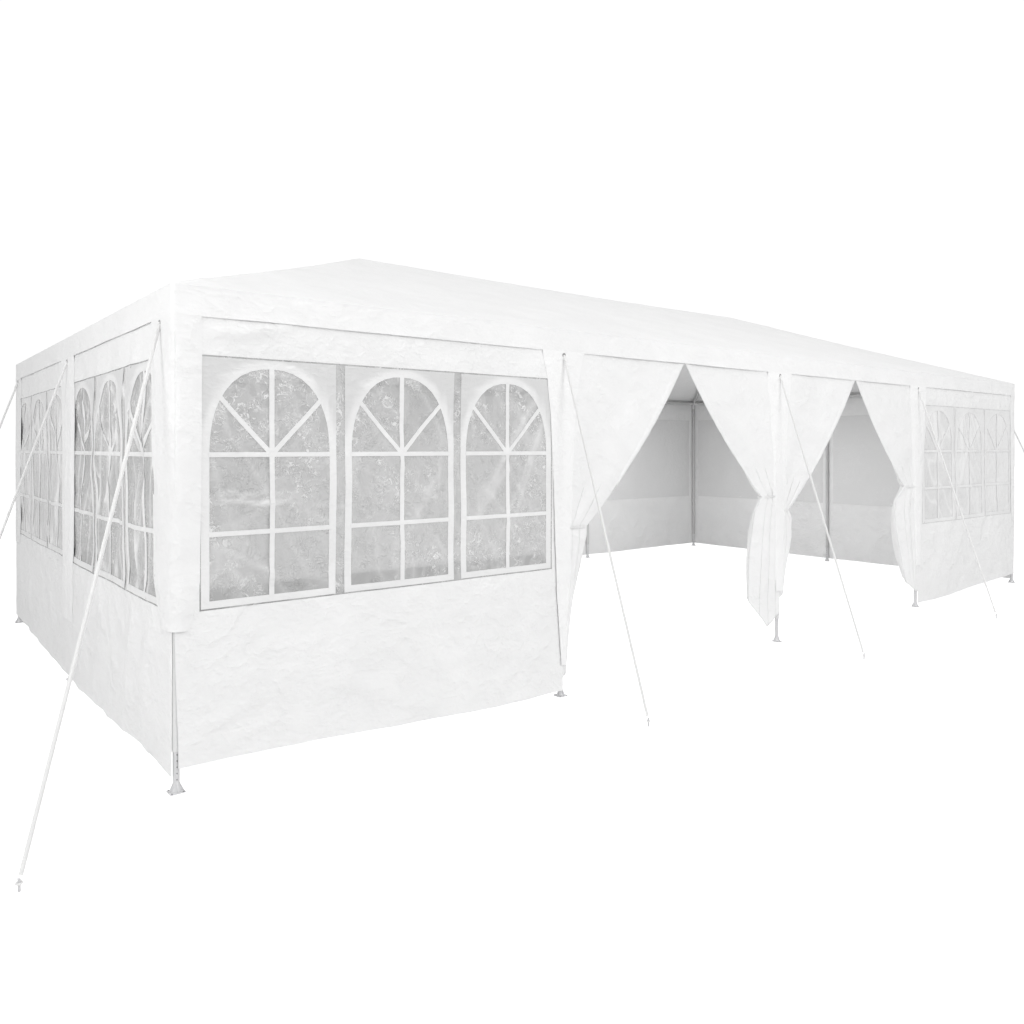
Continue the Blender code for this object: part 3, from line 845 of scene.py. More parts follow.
def wallBulge(side, along, height):
    # how far the sheeting stands out of the plane of its side
    seed = sideSeed[side]
    nearest = min(abs(along - place) for place in postPlaces(side))
    free = smoothStep(0.06, 0.34, nearest) * smoothStep(1.86, 1.66, height)
    broad = swell(along * 0.9, height * 1.1, seed) + 0.45 * swell(along * 2.4, height * 2.2, seed)
    drag = ridge(along * 1.1 + height * 0.9, height * 1.9 - along * 0.35, seed + 1)
    tight = ridge(along * 3.1 - height * 1.4, height * 3.6, seed + 2)
    packed = ridge(along * 7.0 + height * 2.0, height * 8.0 - along * 2.0, seed + 3)
    creases = 0.9 * drag + 0.5 * tight + 0.25 * packed
    calm = 0.25 + 0.75 * smoothStep(0.03, 0.16, nearest)
    calm *= 0.2 + 0.8 * smoothStep(1.84, 1.74, height)
    calm *= 1 - 0.75 * smoothStep(0.0, 0.06, insideWindow(side, along, height))
    # a fold left from packing, the drag folds and the loose wavy hem
    wander = height - walls["foldHeight"] - 0.01 * swell(along * 1.5, 0.0, seed)
    packing = 0.5 * bell(wander, 0.014) * (0.5 + swell(along * 0.8, 3.0, seed))
    hem = smoothStep(0.30, 0.03, height) * smoothStep(0.05, 0.3, nearest)
    waves = swell(along * 2.6, 0.5, seed + 6) + 0.6 * swell(along * 6.5, height * 2.0, seed + 7)
    out = walls["bulge"] * free * broad + walls["crease"][side] * calm * (creases + packing - 0.4)
    return out + walls["hemWave"] * hem * waves + foldLines(wallFolds.get(side, ()), along, height)


def looseHem(side, along, height):
    # the hem waves a little, is drawn up towards the corners and gapes beside the corner posts
    bottom, half = walls["bottom"], sides[side]["half"]
    aside = half - abs(along)
    drawn = walls["drawnUp"][side] * smoothStep(1.9, 0.0, aside)
    drawn += 0.006 * swell(along * 2.2, 1.0, sideSeed[side])
    low = smoothStep(bottom + 0.26, bottom, height)
    gape = walls["gape"][side] * smoothStep(0.62, 0.08, height) * smoothStep(0.12, 0.0, aside)
    return along - math.copysign(gape, along), height + max(0.0, drawn) * low


def makeWall(label, side, bays):
    info = sides[side]
    places = postPlaces(side)
    margin = walls["endMargin"] if side in ("left", "right") else walls["cornerMargin"]
    left, right = places[bays[0]] + walls["seamGap"], places[bays[-1] + 1] - walls["seamGap"]
    if bays[0] == 0:
        left = -info["half"] + margin
    if bays[-1] == info["bays"] - 1:
        right = info["half"] - margin
    bottom, hem = walls["bottom"], walls["hemWidth"]
    low, high, half = walls["windowBottom"], walls["windowTop"], walls["windowHalf"]
    openings = [(bayCentres(side)[bay] - half, bayCentres(side)[bay] + half) for bay in bays]
    fixed = [edge for opening in openings for edge in opening]
    xLines = evenLines(left, right, walls["step"], fixed + [left + 0.003, right - 0.003])
    zLines = evenLines(bottom, walls["top"], walls["step"], (low, high, bottom + hem))
    bm = gridOver(xLines, zLines)
    cut = []
    for face in bm.faces:
        centre = face.calc_center_median()
        if low < centre.z < high and any(a < centre.x < b for a, b in openings):
            cut.append(face)
    bmesh.ops.delete(bm, geom=cut, context="FACES")
    for vert in bm.verts:
        x, z = vert.co.x, vert.co.z
        out = wallBulge(side, x, z)
        if z < bottom + hem - 0.001:
            out += walls["hemThick"]
        x, z = looseHem(side, x, z)
        vert.co = (x, -(info["out"] - walls["face"] + out), z)
    bmesh.ops.transform(bm, matrix=sideTurn(side), verts=bm.verts)
    piece = addPiece(f"wallSheet_{label}", bm, [wallSheeting], thickness=walls["thickness"])
    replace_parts(piece, f"wall_{label}")


# ---- clear windows with their white bars
windows = {
    "frameWidth": 0.576,
    "strip": 0.042,
    "border": 0.033,
    "springing": 1.30,
    "rise": 0.35,
    "archPower": 2.3,
    "archPoints": 64,
    "frameRings": 5,
    "edgeGap": 0.006,
    "mullion": 0.022,
    "transom": 0.020,
    "ray": 0.020,
    "lowTransom": 0.985,
    "paneBottom": 0.723,
    "rayAngle": 47.0,
    "overlap": 0.004,
    "rayOverlap": 0.006,
    "behindWall": 0.0014,
    "barStep": 0.016,
    "margin": 0.009,
    "barThickness": 0.0008,
    "filmLift": -0.0016,
    "frameLift": 0.0002,
    "rayLift": 0.0006,
    "mullionLift": 0.0010,
    "transomLift": 0.0014,
    # painted sheen and haze on the film: a share for the near and far bays of each side
    "hazeAndSheen": {"front": (0.0, 0.70), "right": (0.84, 0.84), "back": (0.84, 0.84), "left": (0.04, 0.58)},
    "fade": {"front": 0.26, "right": 0.0, "back": 0.0, "left": 0.14},
    "sway": {"front": 0.007, "right": 0.003, "back": 0.003, "left": 0.015},
    "waves": {"front": 1.0, "right": 0.3, "back": 0.4, "left": 1.0},
    # how high the waves and the sharp creases are, and how far the film is drawn in for them
    "relief": {
        "front": (0.004, 0.0035, 0.002), "right": (0.010, 0.006, 0.004),
        "back": (0.004, 0.0035, 0.002), "left": (0.010, 0.006, 0.004),
    },
    "fineRelief": 0.0012,
    "step": {"front": 0.011, "right": 0.024, "back": 0.024, "left": 0.011},
    "hazeSign": {"front": -1, "right": 1, "back": 1, "left": 1},
}
# folds pressed into the sheets: start, end (along, height), width, height
pressedFolds = {
    "front": (
        (2.29, 1.66, 2.42, 1.20, 0.028, 0.008),
        (2.83, 1.64, 2.86, 1.20, 0.028, 0.008),
        (2.97, 1.62, 3.03, 1.30, 0.024, 0.008),
        (3.13, 1.62, 3.20, 1.42, 0.024, 0.008),
        (3.00, 1.40, 2.75, 0.95, 0.026, 0.006),
        (-3.84, 1.115, -3.50, 1.095, 0.010, 0.008),
        (-3.82, 1.145, -3.62, 1.135, 0.008, 0.006),
        (-3.42, 1.08, -3.20, 1.07, 0.010, 0.004),
        (-2.12, 1.66, -2.55, 1.02, 0.020, 0.006),
        (-2.10, 1.52, -2.36, 0.86, 0.016, 0.005),
        (-2.30, 1.30, -2.62, 0.90, 0.022, 0.005),
        (-2.75, 1.25, -3.00, 0.86, 0.020, 0.004),
        (-3.85, 0.95, -3.50, 0.76, 0.012, 0.004),
        (-3.80, 0.86, -3.62, 0.72, 0.012, 0.003),
        (-2.06, 1.60, -2.48, 0.74, 0.012, 0.004),
    ),
    "left": (
        (0.385, 1.6, 0.46, 1.45, 0.013, 0.0081),
        (0.46, 1.45, 0.385, 1.27, 0.013, 0.0081),
        (0.66, 1.6, 0.713, 1.28, 0.014, 0.0099),
        (0.713, 1.28, 0.8, 1.16, 0.012, 0.0087),
        (0.8, 1.16, 0.69, 0.86, 0.014, 0.0093),
        (0.98, 1.63, 1.17, 1.49, 0.012, 0.0087),
        (1.17, 1.49, 1.07, 1.28, 0.013, 0.0093),
        (1.07, 1.28, 0.83, 0.93, 0.012, 0.0062),
        (1.21, 1.67, 1.425, 1.44, 0.014, 0.0112),
        (1.425, 1.44, 1.59, 1.29, 0.013, 0.0112),
        (1.11, 1.6, 1.24, 1.32, 0.012, 0.0087),
        (1.24, 1.32, 1.306, 1.05, 0.014, 0.0099),
        (1.306, 1.05, 1.3, 0.72, 0.014, 0.0099),
        (1.52, 1.24, 1.46, 1, 0.012, 0.0081),
        (1.46, 1, 1.54, 0.72, 0.012, 0.0081),
        (1.697, 1.55, 1.59, 1.29, 0.013, 0.0087),
        (0.79, 1.52, 0.98, 1.32, 0.012, 0.0074),
        (-0.35, 1.62, -0.42, 0.85, 0.017, 0.0074),
        (-0.8, 1.6, -0.72, 1.25, 0.017, 0.0074),
        (-1.2, 1.55, -1.32, 0.95, 0.017, 0.0074),
        (-1.6, 1.5, -1.52, 1.1, 0.017, 0.0062),
    ),
}


def archReach(share):
    # height of the arch above its springing at a share of its half width
    power = windows["archPower"]
    return windows["rise"] * max(0.0, 1 - abs(share) ** power) ** (1 / power)


def paneShare(side, along, height):
    # 1 well inside a clear pane, 0 on the white surround
    pitch = windows["frameWidth"] + windows["strip"]
    inner = windows["frameWidth"] / 2 - windows["border"]
    aside = min(abs(along - centre - i * pitch) for centre in bayCentres(side) for i in (-1, 0, 1))
    deep = min(inner - aside, height - windows["paneBottom"])
    if height > windows["springing"] and aside < inner:
        deep = min(deep, windows["springing"] + archReach(aside / inner) - height)
    return smoothStep(-0.002, 0.03, deep)


def filmHazeAndSheen(side, along):
    # painted sheen laid on as haze: the bays further along a side are whitened more, the more so towards
    # their far end
    near, far = windows["hazeAndSheen"][side]
    outward = -along * windows["hazeSign"][side]
    if outward < 0:
        return near
    half = tent["halfLength"] if side in ("front", "back") else tent["halfWidth"]
    return far + windows["fade"][side] * smoothStep(0.50, 0.98, outward / half)


def filmSheenAndHighlights(side, along, height):
    # how far the clear film is whitened, from 0 to 1: painted sheen by bay, and painted highlights along the
    # pressed folds and crease lines
    seed = sideSeed[side] + 20
    share = filmHazeAndSheen(side, along)
    share += 80.0 * foldLines(pressedFolds.get(side, ()), along, height)
    if side == "left":
        share += 0.8 * ridge(along * 7.0 - height * 0.7, height * 1.4, seed + 1) ** 3
    elif side != "front":
        return share
    else:
        slant = along + 0.55 * height
        share += 0.3 * ridge(slant * 6.0, (height - along) * 1.8, seed + 1) ** 2
    return min(1.0, share)


def filmOut(side, along, height):
    # the film follows its wall and is crinkled much more inside the opening
    inside = insideWindow(side, along, height)
    free = smoothStep(0.0, 0.09, inside) * (0.12 + 0.88 * paneShare(side, along, height))
    free *= windows["waves"][side]
    seed = sideSeed[side] + 20
    out = wallBulge(side, along, height) - windows["behindWall"]
    out += smoothStep(0.0, 0.12, inside) * windows["sway"][side] * swell(along * 4.5, height * 4.5, seed + 9)
    if side in ("left", "right"):
        waves = swell(along * 7.0 + height * 0.8, height * 1.1, seed)
        sharp = ridge(along * 9.0 - height * 0.7, height * 1.4, seed + 1)
    else:
        slant = along + 0.55 * height
        waves = swell(slant * 4.0, height * 1.6, seed)
        sharp = ridge(slant * 6.0, (height - along) * 1.8, seed + 1)
    waveHigh, sharpHigh, drawnIn = windows["relief"][side]
    relief = waveHigh * waves + sharpHigh * sharp - drawnIn
    relief += windows["fineRelief"] * swell(along * 21.0, height * 17.0, seed + 2)
    return out + free * (relief + foldLines(pressedFolds.get(side, ()), along, height))


def layOnFilm(bm, side, lift):
    for vert in bm.verts:
        x, z = vert.co.x, vert.co.z
        out = filmOut(side, x, z) + lift
        vert.co = (x, -(sides[side]["out"] - walls["face"] + out), z)
    bmesh.ops.transform(bm, matrix=sideTurn(side), verts=bm.verts)


def makeFilm(name, side, bay):
    centre, step = bayCentres(side)[bay], windows["step"][side]
    half = walls["windowHalf"] + windows["margin"]
    low, high = walls["windowBottom"] - windows["margin"], walls["windowTop"] + windows["margin"]
    bm = gridOver(evenLines(centre - half, centre + half, step), evenLines(low, high, step))
    sheenAndHighlights = bm.verts.layers.float.new("sheenAndHighlights")
    for vert in bm.verts:
        vert[sheenAndHighlights] = filmSheenAndHighlights(side, vert.co.x, vert.co.z)
    layOnFilm(bm, side, windows["filmLift"])
    piece = addPiece(name, bm, [clearFilm])
    return piece, (2 * half, high - low)


def frameRing(side, centre):
    # white surround of one pane: a rectangle outside, an arch inside
    count, last = windows["archPoints"], windows["frameRings"] - 1
    half, inner = windows["frameWidth"] / 2, windows["frameWidth"] / 2 - windows["border"]
    low = walls["windowBottom"] + windows["edgeGap"]
    high = walls["windowTop"] - windows["edgeGap"]
    middle, reachUp = (low + high) / 2, (high - low) / 2
    bm = bmesh.new()
    spandrelShade = bm.verts.layers.float.new("spandrelShade")
    rings = []
    for level in range(last + 1):
        rings.append(bmesh.ops.create_circle(bm, segments=count, radius=1.0)["verts"])
    whole = 2 * math.pi
    corner = math.atan2(reachUp, half)
    outerCorners = [corner, math.pi - corner, math.pi + corner, whole - corner]
    innerCorners = [math.atan2(windows["paneBottom"] - middle, hand * inner) % whole for hand in (-1, 1)]

    def snapTo(corners, angle):
        nearest = min(corners, key=lambda place: abs(place - angle))
        return nearest if abs(nearest - angle) < math.pi / count else angle

    for level, ring in enumerate(rings):
        for vert in ring:
            angle = math.atan2(vert.co.y, vert.co.x) % whole
            turned = snapTo(outerCorners, angle)
            over, up = math.cos(turned), math.sin(turned)
            reach = min(half / max(1e-6, abs(over)), reachUp / max(1e-6, abs(up)))
            pane = paneEdge(snapTo(innerCorners, angle), inner, middle)
            spot = Vector((reach * over, 0, reach * up)).lerp(pane, level / last)
            vert.co = (centre + spot.x, 0.0, middle + spot.z)
            # spandrelShade marks where painted shade greys the print: above the springing, away from the
            # pane edge, on the clear bays
            beyond = smoothStep(0.022, 0.045, (spot - pane).length)
            clear = 1 - filmHazeAndSheen(side, vert.co.x) if side in ("front", "left") else 1.0
            above = smoothStep(0.04, 0.16, vert.co.z - windows["springing"])
            vert[spandrelShade] = clear * beyond * above
    for first, second in zip(rings, rings[1:]):
        members = set(first) | set(second)
        edges = {edge for vert in members for edge in vert.link_edges if len(edge.link_faces) < 2}
        edges = [edge for edge in edges if edge.verts[0] in members and edge.verts[1] in members]
        bmesh.ops.bridge_loops(bm, edges=edges)
    return bm


def paneEdge(angle, inner, middle):
    # where a ray from the middle of the frame meets the edge of the pane
    dx, dz = math.cos(angle), math.sin(angle)
    low, high = 0.0, 1.2
    for _ in range(24):
        reach = (low + high) / 2
        x, z = reach * dx, middle + reach * dz
        within = abs(x) < inner and z > windows["paneBottom"]
        if within and z > windows["springing"]:
            within = z < windows["springing"] + archReach(x / inner)
        if within:
            low = reach
        else:
            high = reach
    return Vector((low * dx, 0, low * dz))


def barBetween(start, end, width):
    # narrow strip from start to end, both (along, height)
    dx, dz = end[0] - start[0], end[1] - start[1]
    length = math.hypot(dx, dz)
    bm = gridOver(evenLines(-width / 2, width / 2, width / 2), evenLines(0.0, length, windows["barStep"]))
    place = Matrix.Translation((start[0], 0, start[1])) @ Matrix.Rotation(math.atan2(dx, dz), 4, "Y")
    bmesh.ops.transform(bm, matrix=place, verts=bm.verts)
    return bm


def rayEnd():
    # where a slanting bar from the middle of the springing line meets the arch
    inner = windows["frameWidth"] / 2 - windows["border"]
    angle, overlap = math.radians(windows["rayAngle"]), windows["overlap"]
    far = 0.0
    while far < 0.5:
        x, z = (far + overlap) * math.cos(angle), (far + overlap) * math.sin(angle)
        if z > archReach(x / inner) or x > inner:
            break
        far += 0.002
    reach = far + windows["rayOverlap"]
    return reach * math.cos(angle), reach * math.sin(angle)


def makeWindowBars(name, side, bay):
    pitch = windows["frameWidth"] + windows["strip"]
    springing, low, overlap = windows["springing"], windows["paneBottom"], windows["overlap"]
    reach = windows["frameWidth"] / 2 - windows["border"] + overlap
    rayOver, rayUp = rayEnd()
    whole = bmesh.new()
    for index in (-1, 0, 1):
        middle = bayCentres(side)[bay] + index * pitch
        top = (middle, springing + windows["rise"] + overlap)
        parts = [(frameRing(side, middle), "frame")]
        parts.append((barBetween((middle, low - overlap), top, windows["mullion"]), "mullion"))
        for height in (springing, windows["lowTransom"]):
            bar = barBetween((middle - reach, height), (middle + reach, height), windows["transom"])
            parts.append((bar, "transom"))
        for sign in (-1, 1):
            end = (middle + sign * rayOver, springing + rayUp)
            parts.append((barBetween((middle, springing), end, windows["ray"]), "ray"))
        for bm, kind in parts:
            layOnFilm(bm, side, windows[f"{kind}Lift"])
            addInto(whole, bm)
    outward = sideTurn(side) @ Vector((0, -1, 0))
    whole.normal_update()
    wrong = [face for face in whole.faces if face.normal.dot(outward) < 0]
    if wrong:
        bmesh.ops.reverse_faces(whole, faces=wrong)
    return addPiece(name, whole, [windowPrint], thickness=windows["barThickness"])


makeRoofCover()
print("roof cover made")

wallBays = {
    "front_left": ("front", (0,)),
    "front_right": ("front", (3,)),
    "right_end": ("right", (0, 1)),
    "back_right": ("back", (0, 1)),
    "back_left": ("back", (2, 3)),
    "left_end": ("left", (0, 1)),
}
for label, (side, bays) in wallBays.items():
    makeWall(label, side, bays)
    filmNode = "window_film_" + ("back" if side == "back" else label)
    for bay in bays:
        film, cut = makeFilm(f"windowFilm_{side}_{bay + 1}", side, bay)
        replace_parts(film, filmNode)
        bars = makeWindowBars(f"windowBars_{side}_{bay + 1}", side, bay)
print("walls and windows made")


# ---- posts, feet and drapes
foot = {
    "plateHalf": 0.030,
    "plateThick": 0.003,
    "plateCorner": 0.006,
    "plateEdge": 0.0006,
    "flareRadius": 0.021,
    "flareTop": 0.034,
    "tubeRadius": 0.0125,
    "tubeTop": 0.175,
    "sleeveBottom": 0.158,
    "holeHeights": (0.050, 0.074, 0.098, 0.122, 0.146),
    "holeHigh": 0.0066,
    "gussetReach": 0.027,
    "gussetTop": 0.040,
    "gussetThick": 0.0024,
    "boltHole": 0.0035,
    "boltPlace": 0.0215,
    "buttonHeight": 0.185,
    "jointHeight": 1.002,
    "segments": 24,
    "tubeSegments": 16,
}
# the outlines of a push button and of a screw head, as (radius, height)
buttonProfile = ((0.0, 0.0034), (0.0018, 0.0030), (0.0032, 0.0016), (0.0034, -0.002))
screwProfile = ((0.0, 0.0030), (0.0022, 0.0028), (0.0036, 0.0014), (0.0038, -0.001))


def footTube():
    # thin tube with a row of pin holes on its outer and inner side
    segments = foot["tubeSegments"]
    heights = [foot["flareTop"]]
    for height in foot["holeHeights"]:
        heights += [height - foot["holeHigh"] / 2, height + foot["holeHigh"] / 2]
    heights.append(foot["tubeTop"])
    bm = spun([(foot["tubeRadius"], height) for height in heights], segments)
    halfFace = Matrix.Rotation(math.pi / segments, 3, "Z")
    bmesh.ops.rotate(bm, cent=(0, 0, 0), matrix=halfFace, verts=bm.verts)
    bm.normal_update()
    holes = []
    for face in bm.faces:
        face.material_index = 1
        centre = face.calc_center_median()
        if abs(centre.x) < 0.002 and any(abs(centre.z - height) < 0.001 for height in foot["holeHeights"]):
            holes.append(face)
    bmesh.ops.inset_individual(bm, faces=holes, thickness=0.0007, depth=0.0)
    bmesh.ops.inset_individual(bm, faces=holes, thickness=0.0003, depth=-0.0022)
    # the hole floors get the near-black finish, painted shade
    for face in holes:
        face.material_index = 2
    return bm


def footPlate():
    bm = bmesh.new()
    bmesh.ops.create_cube(bm, size=1.0)
    half, thick = foot["plateHalf"], foot["plateThick"]
    bmesh.ops.scale(bm, vec=(2 * half, 2 * half, thick), verts=bm.verts)
    bmesh.ops.translate(bm, vec=(0, 0, thick / 2), verts=bm.verts)
    edges = [edge for edge in bm.edges if abs(edge.verts[0].co.z - edge.verts[1].co.z) > thick / 2]
    for offset, segments in ((foot["plateCorner"], 4), (foot["plateEdge"], 1)):
        bmesh.ops.bevel(
            bm, geom=edges, offset=offset, offset_type="OFFSET", affect="EDGES",
            segments=segments, profile=0.5, material=-1,
        )
        edges = [edge for edge in bm.edges if not edge.is_boundary and edge.calc_face_angle(0) > 0.7]
    return bm


def gusset():
    # small bent rib from the plate up to the tube
    bm = bmesh.new()
    low, reach, top = foot["plateThick"] - 0.0005, foot["gussetReach"], foot["gussetTop"]
    corners = [
        (0.009, low), (reach, low), (reach, low + 0.005),
        (0.016, top - 0.010), (0.0115, top), (0.009, top),
    ]
    thick = foot["gussetThick"]
    verts = [bm.verts.new((x, -thick / 2, z)) for x, z in corners]
    face = bm.faces.new(verts)
    grown = bmesh.ops.extrude_face_region(bm, geom=[face])["geom"]
    back = [item for item in grown if isinstance(item, bmesh.types.BMVert)]
    bmesh.ops.translate(bm, vec=(0, thick, 0), verts=back)
    bmesh.ops.recalc_face_normals(bm, faces=bm.faces[:])
    return bm


def makePost(side, label, along):
    radius = tent["tubeRadius"]
    whole = bmesh.new()
    place = Matrix.Translation(sidePoint(side, along, -tent["postLine"], 0.0)) @ sideTurn(side)
    low, top = foot["sleeveBottom"], tent["postTop"]
    tube = [
        (radius - 0.0030, low + 0.03), (radius - 0.0030, low + 0.0006), (radius - 0.0022, low),
        (radius - 0.0006, low), (radius, low + 0.0006), (radius, 0.98), (radius, 1.40),
        (radius, top - 0.001), (radius - 0.001, top), (0.0, top),
    ]
    addInto(whole, spun(tube, foot["segments"]), place, 0)
    # swaged joint halfway up, where the two lengths of tube push together
    joint = [
        (radius + bulge, foot["jointHeight"] + rise)
        for bulge, rise in ((-0.0005, 0.0), (0.0006, 0.002), (0.0006, 0.038), (-0.0005, 0.041))
    ]
    addInto(whole, spun(joint, foot["segments"]), place, 0)
    addInto(whole, footTube(), place)
    wide, narrow, plate = foot["flareRadius"], foot["tubeRadius"], foot["plateThick"]
    flare = [(wide, plate - 0.0004), (wide, 0.005)]
    for share in (step / 6 for step in range(1, 7)):
        radiusHere = narrow + (wide - narrow) * (1 - share) ** 2.2
        flare.append((radiusHere + 0.0006, 0.005 + (foot["flareTop"] - 0.003) * share))
    flare.append((narrow - 0.001, 0.005 + foot["flareTop"] - 0.002))
    addInto(whole, spun(flare, foot["segments"]), place, 1)
    addInto(whole, footPlate(), place, 1)
    for turn in (0, math.pi / 2, math.pi, -math.pi / 2):
        addInto(whole, gusset(), place @ Matrix.Rotation(turn, 4, "Z"), 1)
    # the bolt holes are dark discs laid on the plate: painted shade
    bolt = foot["boltHole"]
    for signX, signY in ((-1, -1), (-1, 1), (1, -1), (1, 1)):
        hole = spun([(0.0, plate + 0.0002), (bolt, plate + 0.0002), (bolt, plate - 0.0006)], 12)
        spot = Matrix.Translation((signX * foot["boltPlace"], signY * foot["boltPlace"], 0))
        addInto(whole, hole, place @ spot, 2)
    # push button that holds the foot tube in its hole
    seat = Matrix.Translation((0, -radius + 0.0004, foot["buttonHeight"]))
    addInto(whole, spun(buttonProfile, 12), place @ seat @ Matrix.Rotation(math.pi / 2, 4, "X"), 1)
    # the back and right posts take the darker copy of the coat, painted shade
    coat = powderCoat if side in ("front", "left") else shadedCoat
    piece = sharpen(addPiece(f"postTube_{label}", whole, [coat, zincFoot, holeShade]))
    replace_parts(piece, f"post_{label}")


eyelet = {"radius": 0.0115, "hole": 0.0055, "thick": 0.0022}


def makeEyelet(name, spot, outward):
    outer, hole, thick = eyelet["radius"], eyelet["hole"], eyelet["thick"]
    whole = bmesh.new()
    ring = spun([
        (hole, -0.001), (hole, thick * 0.6), (hole + 0.0012, thick), (outer - 0.0015, thick),
        (outer, thick * 0.5), (outer, -0.0004),
    ], 24)
    place = alongLine(spot, outward)
    addInto(whole, ring, place, 0)
    # dark disc in the eyelet's hole: painted shade
    dark = spun([(0.0, 0.0004), (hole + 0.0003, 0.0004), (hole + 0.0003, -0.0006)], 24)
    addInto(whole, dark, place, 1)
    sharpen(addPiece(name, whole, [eyeletMetal, holeShade]))


# ---- guy ropes and pegs
rope = {
    "radius": 0.0078,
    "lobe": 0.0013,
    "pitch": 0.034,
    "stepsPerTurn": 6,
    "top": 1.822,
    "reach": 0.60,
    "cornerInset": 0.15,
    "cornerEnd": (0.557, 0.422),
    "turnRadius": 0.0040,
    "pegTop": 0.045,
    # along the rope from its eyelet or its end, with the size of each turn
    "knotBelow": 0.035,
    "knots": ((0.0, 0.0068), (0.008, 0.0072), (0.016, 0.0066)),
    "bindings": (-0.050, -0.042, -0.034),
}
peg = {
    "radius": 0.0045,
    "top": 0.038,
    "hookRadius": 0.0042,
    "hookReach": 0.0085,
    "hookHeight": 0.036,
    "hookBend": 150,
    "hookScale": (0.45, 1, 0.6, 1),
}


def ropeLength(start, end):
    # three laid strands, made by one twisting spin along the rope
    direction = end - start
    length = direction.length
    turns = length / rope["pitch"]
    steps = round(turns * rope["stepsPerTurn"])
    bm = bmesh.new()
    for vert in bmesh.ops.create_circle(bm, segments=9, radius=rope["radius"])["verts"]:
        angle = math.atan2(vert.co.y, vert.co.x)
        reach = rope["radius"] - rope["lobe"] * (0.5 - 0.5 * math.cos(3 * angle))
        vert.co = (reach * math.cos(angle), reach * math.sin(angle), 0.0)
    bmesh.ops.spin(
        bm, geom=bm.verts[:] + bm.edges[:], cent=(0, 0, 0), axis=(0, 0, 1),
        dvec=(0, 0, length / steps), angle=2 * math.pi * turns, steps=steps, use_duplicate=False,
    )
    ends = [edge for edge in bm.edges if edge.is_boundary]
    bmesh.ops.holes_fill(bm, edges=ends, sides=12)
    bmesh.ops.recalc_face_normals(bm, faces=bm.faces[:])
    bmesh.ops.transform(bm, matrix=alongLine(start, direction), verts=bm.verts)
    return bm


def ropeLoop(centre, axis, radius, thickness):
    # one round turn of rope about an axis
    bm = bmesh.new()
    ring = bmesh.ops.create_circle(bm, segments=8, radius=thickness)["verts"]
    bmesh.ops.rotate(bm, cent=(0, 0, 0), matrix=Matrix.Rotation(math.pi / 2, 3, "X"), verts=ring)
    bmesh.ops.translate(bm, vec=(radius, 0, 0), verts=ring)
    spinRound(bm, bm.verts[:] + bm.edges[:], 18)
    bmesh.ops.transform(bm, matrix=alongLine(centre, axis), verts=bm.verts)
    return bm


def makeGuyRope(label, top, ground, outward):
    pegHead = Vector((ground.x, ground.y, rope["pegTop"]))
    along = (pegHead - top).normalized()
    knotAt = top + along * rope["knotBelow"]
    end = pegHead - along * 0.016 - Vector((0, 0, 0.014))
    whole = bmesh.new()
    addInto(whole, ropeLength(top - outward * 0.003, end))
    # the knot below the eyelet, the binding above the peg and the loop round it
    for shift, size in rope["knots"]:
        addInto(whole, ropeLoop(knotAt + along * shift, along, rope["turnRadius"], size * 0.52))
    for shift in rope["bindings"]:
        addInto(whole, ropeLoop(end + along * shift, along, rope["turnRadius"], 0.0036))
    loopAt, lean = Vector((ground.x, ground.y, 0.026)), Vector((along.x * 0.3, along.y * 0.3, 1))
    addInto(whole, ropeLoop(loopAt, lean.normalized(), 0.0085, 0.0032))
    cord = sharpen(addPiece(f"guyRope_{label}", whole, [whiteCord]), 60)
    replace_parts(cord, f"guy_rope_{label}")
    makeEyelet(f"eyelet_{label}", top - outward * 0.0015, outward)
    makePeg(label, ground, along)


def makePeg(label, ground, along):
    # steel pin with a hook at its head, bent back over the rope
    radius, top = peg["radius"], peg["top"]
    whole = bmesh.new()
    pin = spun([(0.0, 0.0), (radius - 0.0003, 0.0), (radius, 0.001), (radius, top), (0.0, top)], 14)
    addInto(whole, pin, Matrix.Translation((ground.x, ground.y, 0)))
    hook = bmesh.new()
    bmesh.ops.create_circle(hook, segments=12, radius=peg["hookRadius"])
    bmesh.ops.spin(
        hook, geom=hook.verts[:] + hook.edges[:], cent=(peg["hookReach"], 0, 0), axis=(0, 1, 0),
        angle=math.radians(peg["hookBend"]), steps=10,
    )
    bmesh.ops.holes_fill(hook, edges=[edge for edge in hook.edges if edge.is_boundary], sides=14)
    bmesh.ops.recalc_face_normals(hook, faces=hook.faces[:])
    away = Vector((-along.x, -along.y, 0)).normalized()
    facing = Matrix.Rotation(math.atan2(-away.y, -away.x), 4, "Z") @ Matrix.Diagonal(peg["hookScale"])
    addInto(whole, hook, Matrix.Translation((ground.x, ground.y, peg["hookHeight"])) @ facing)
    sharpen(addPiece(f"peg_{label}", whole, [zincFoot]), 50)


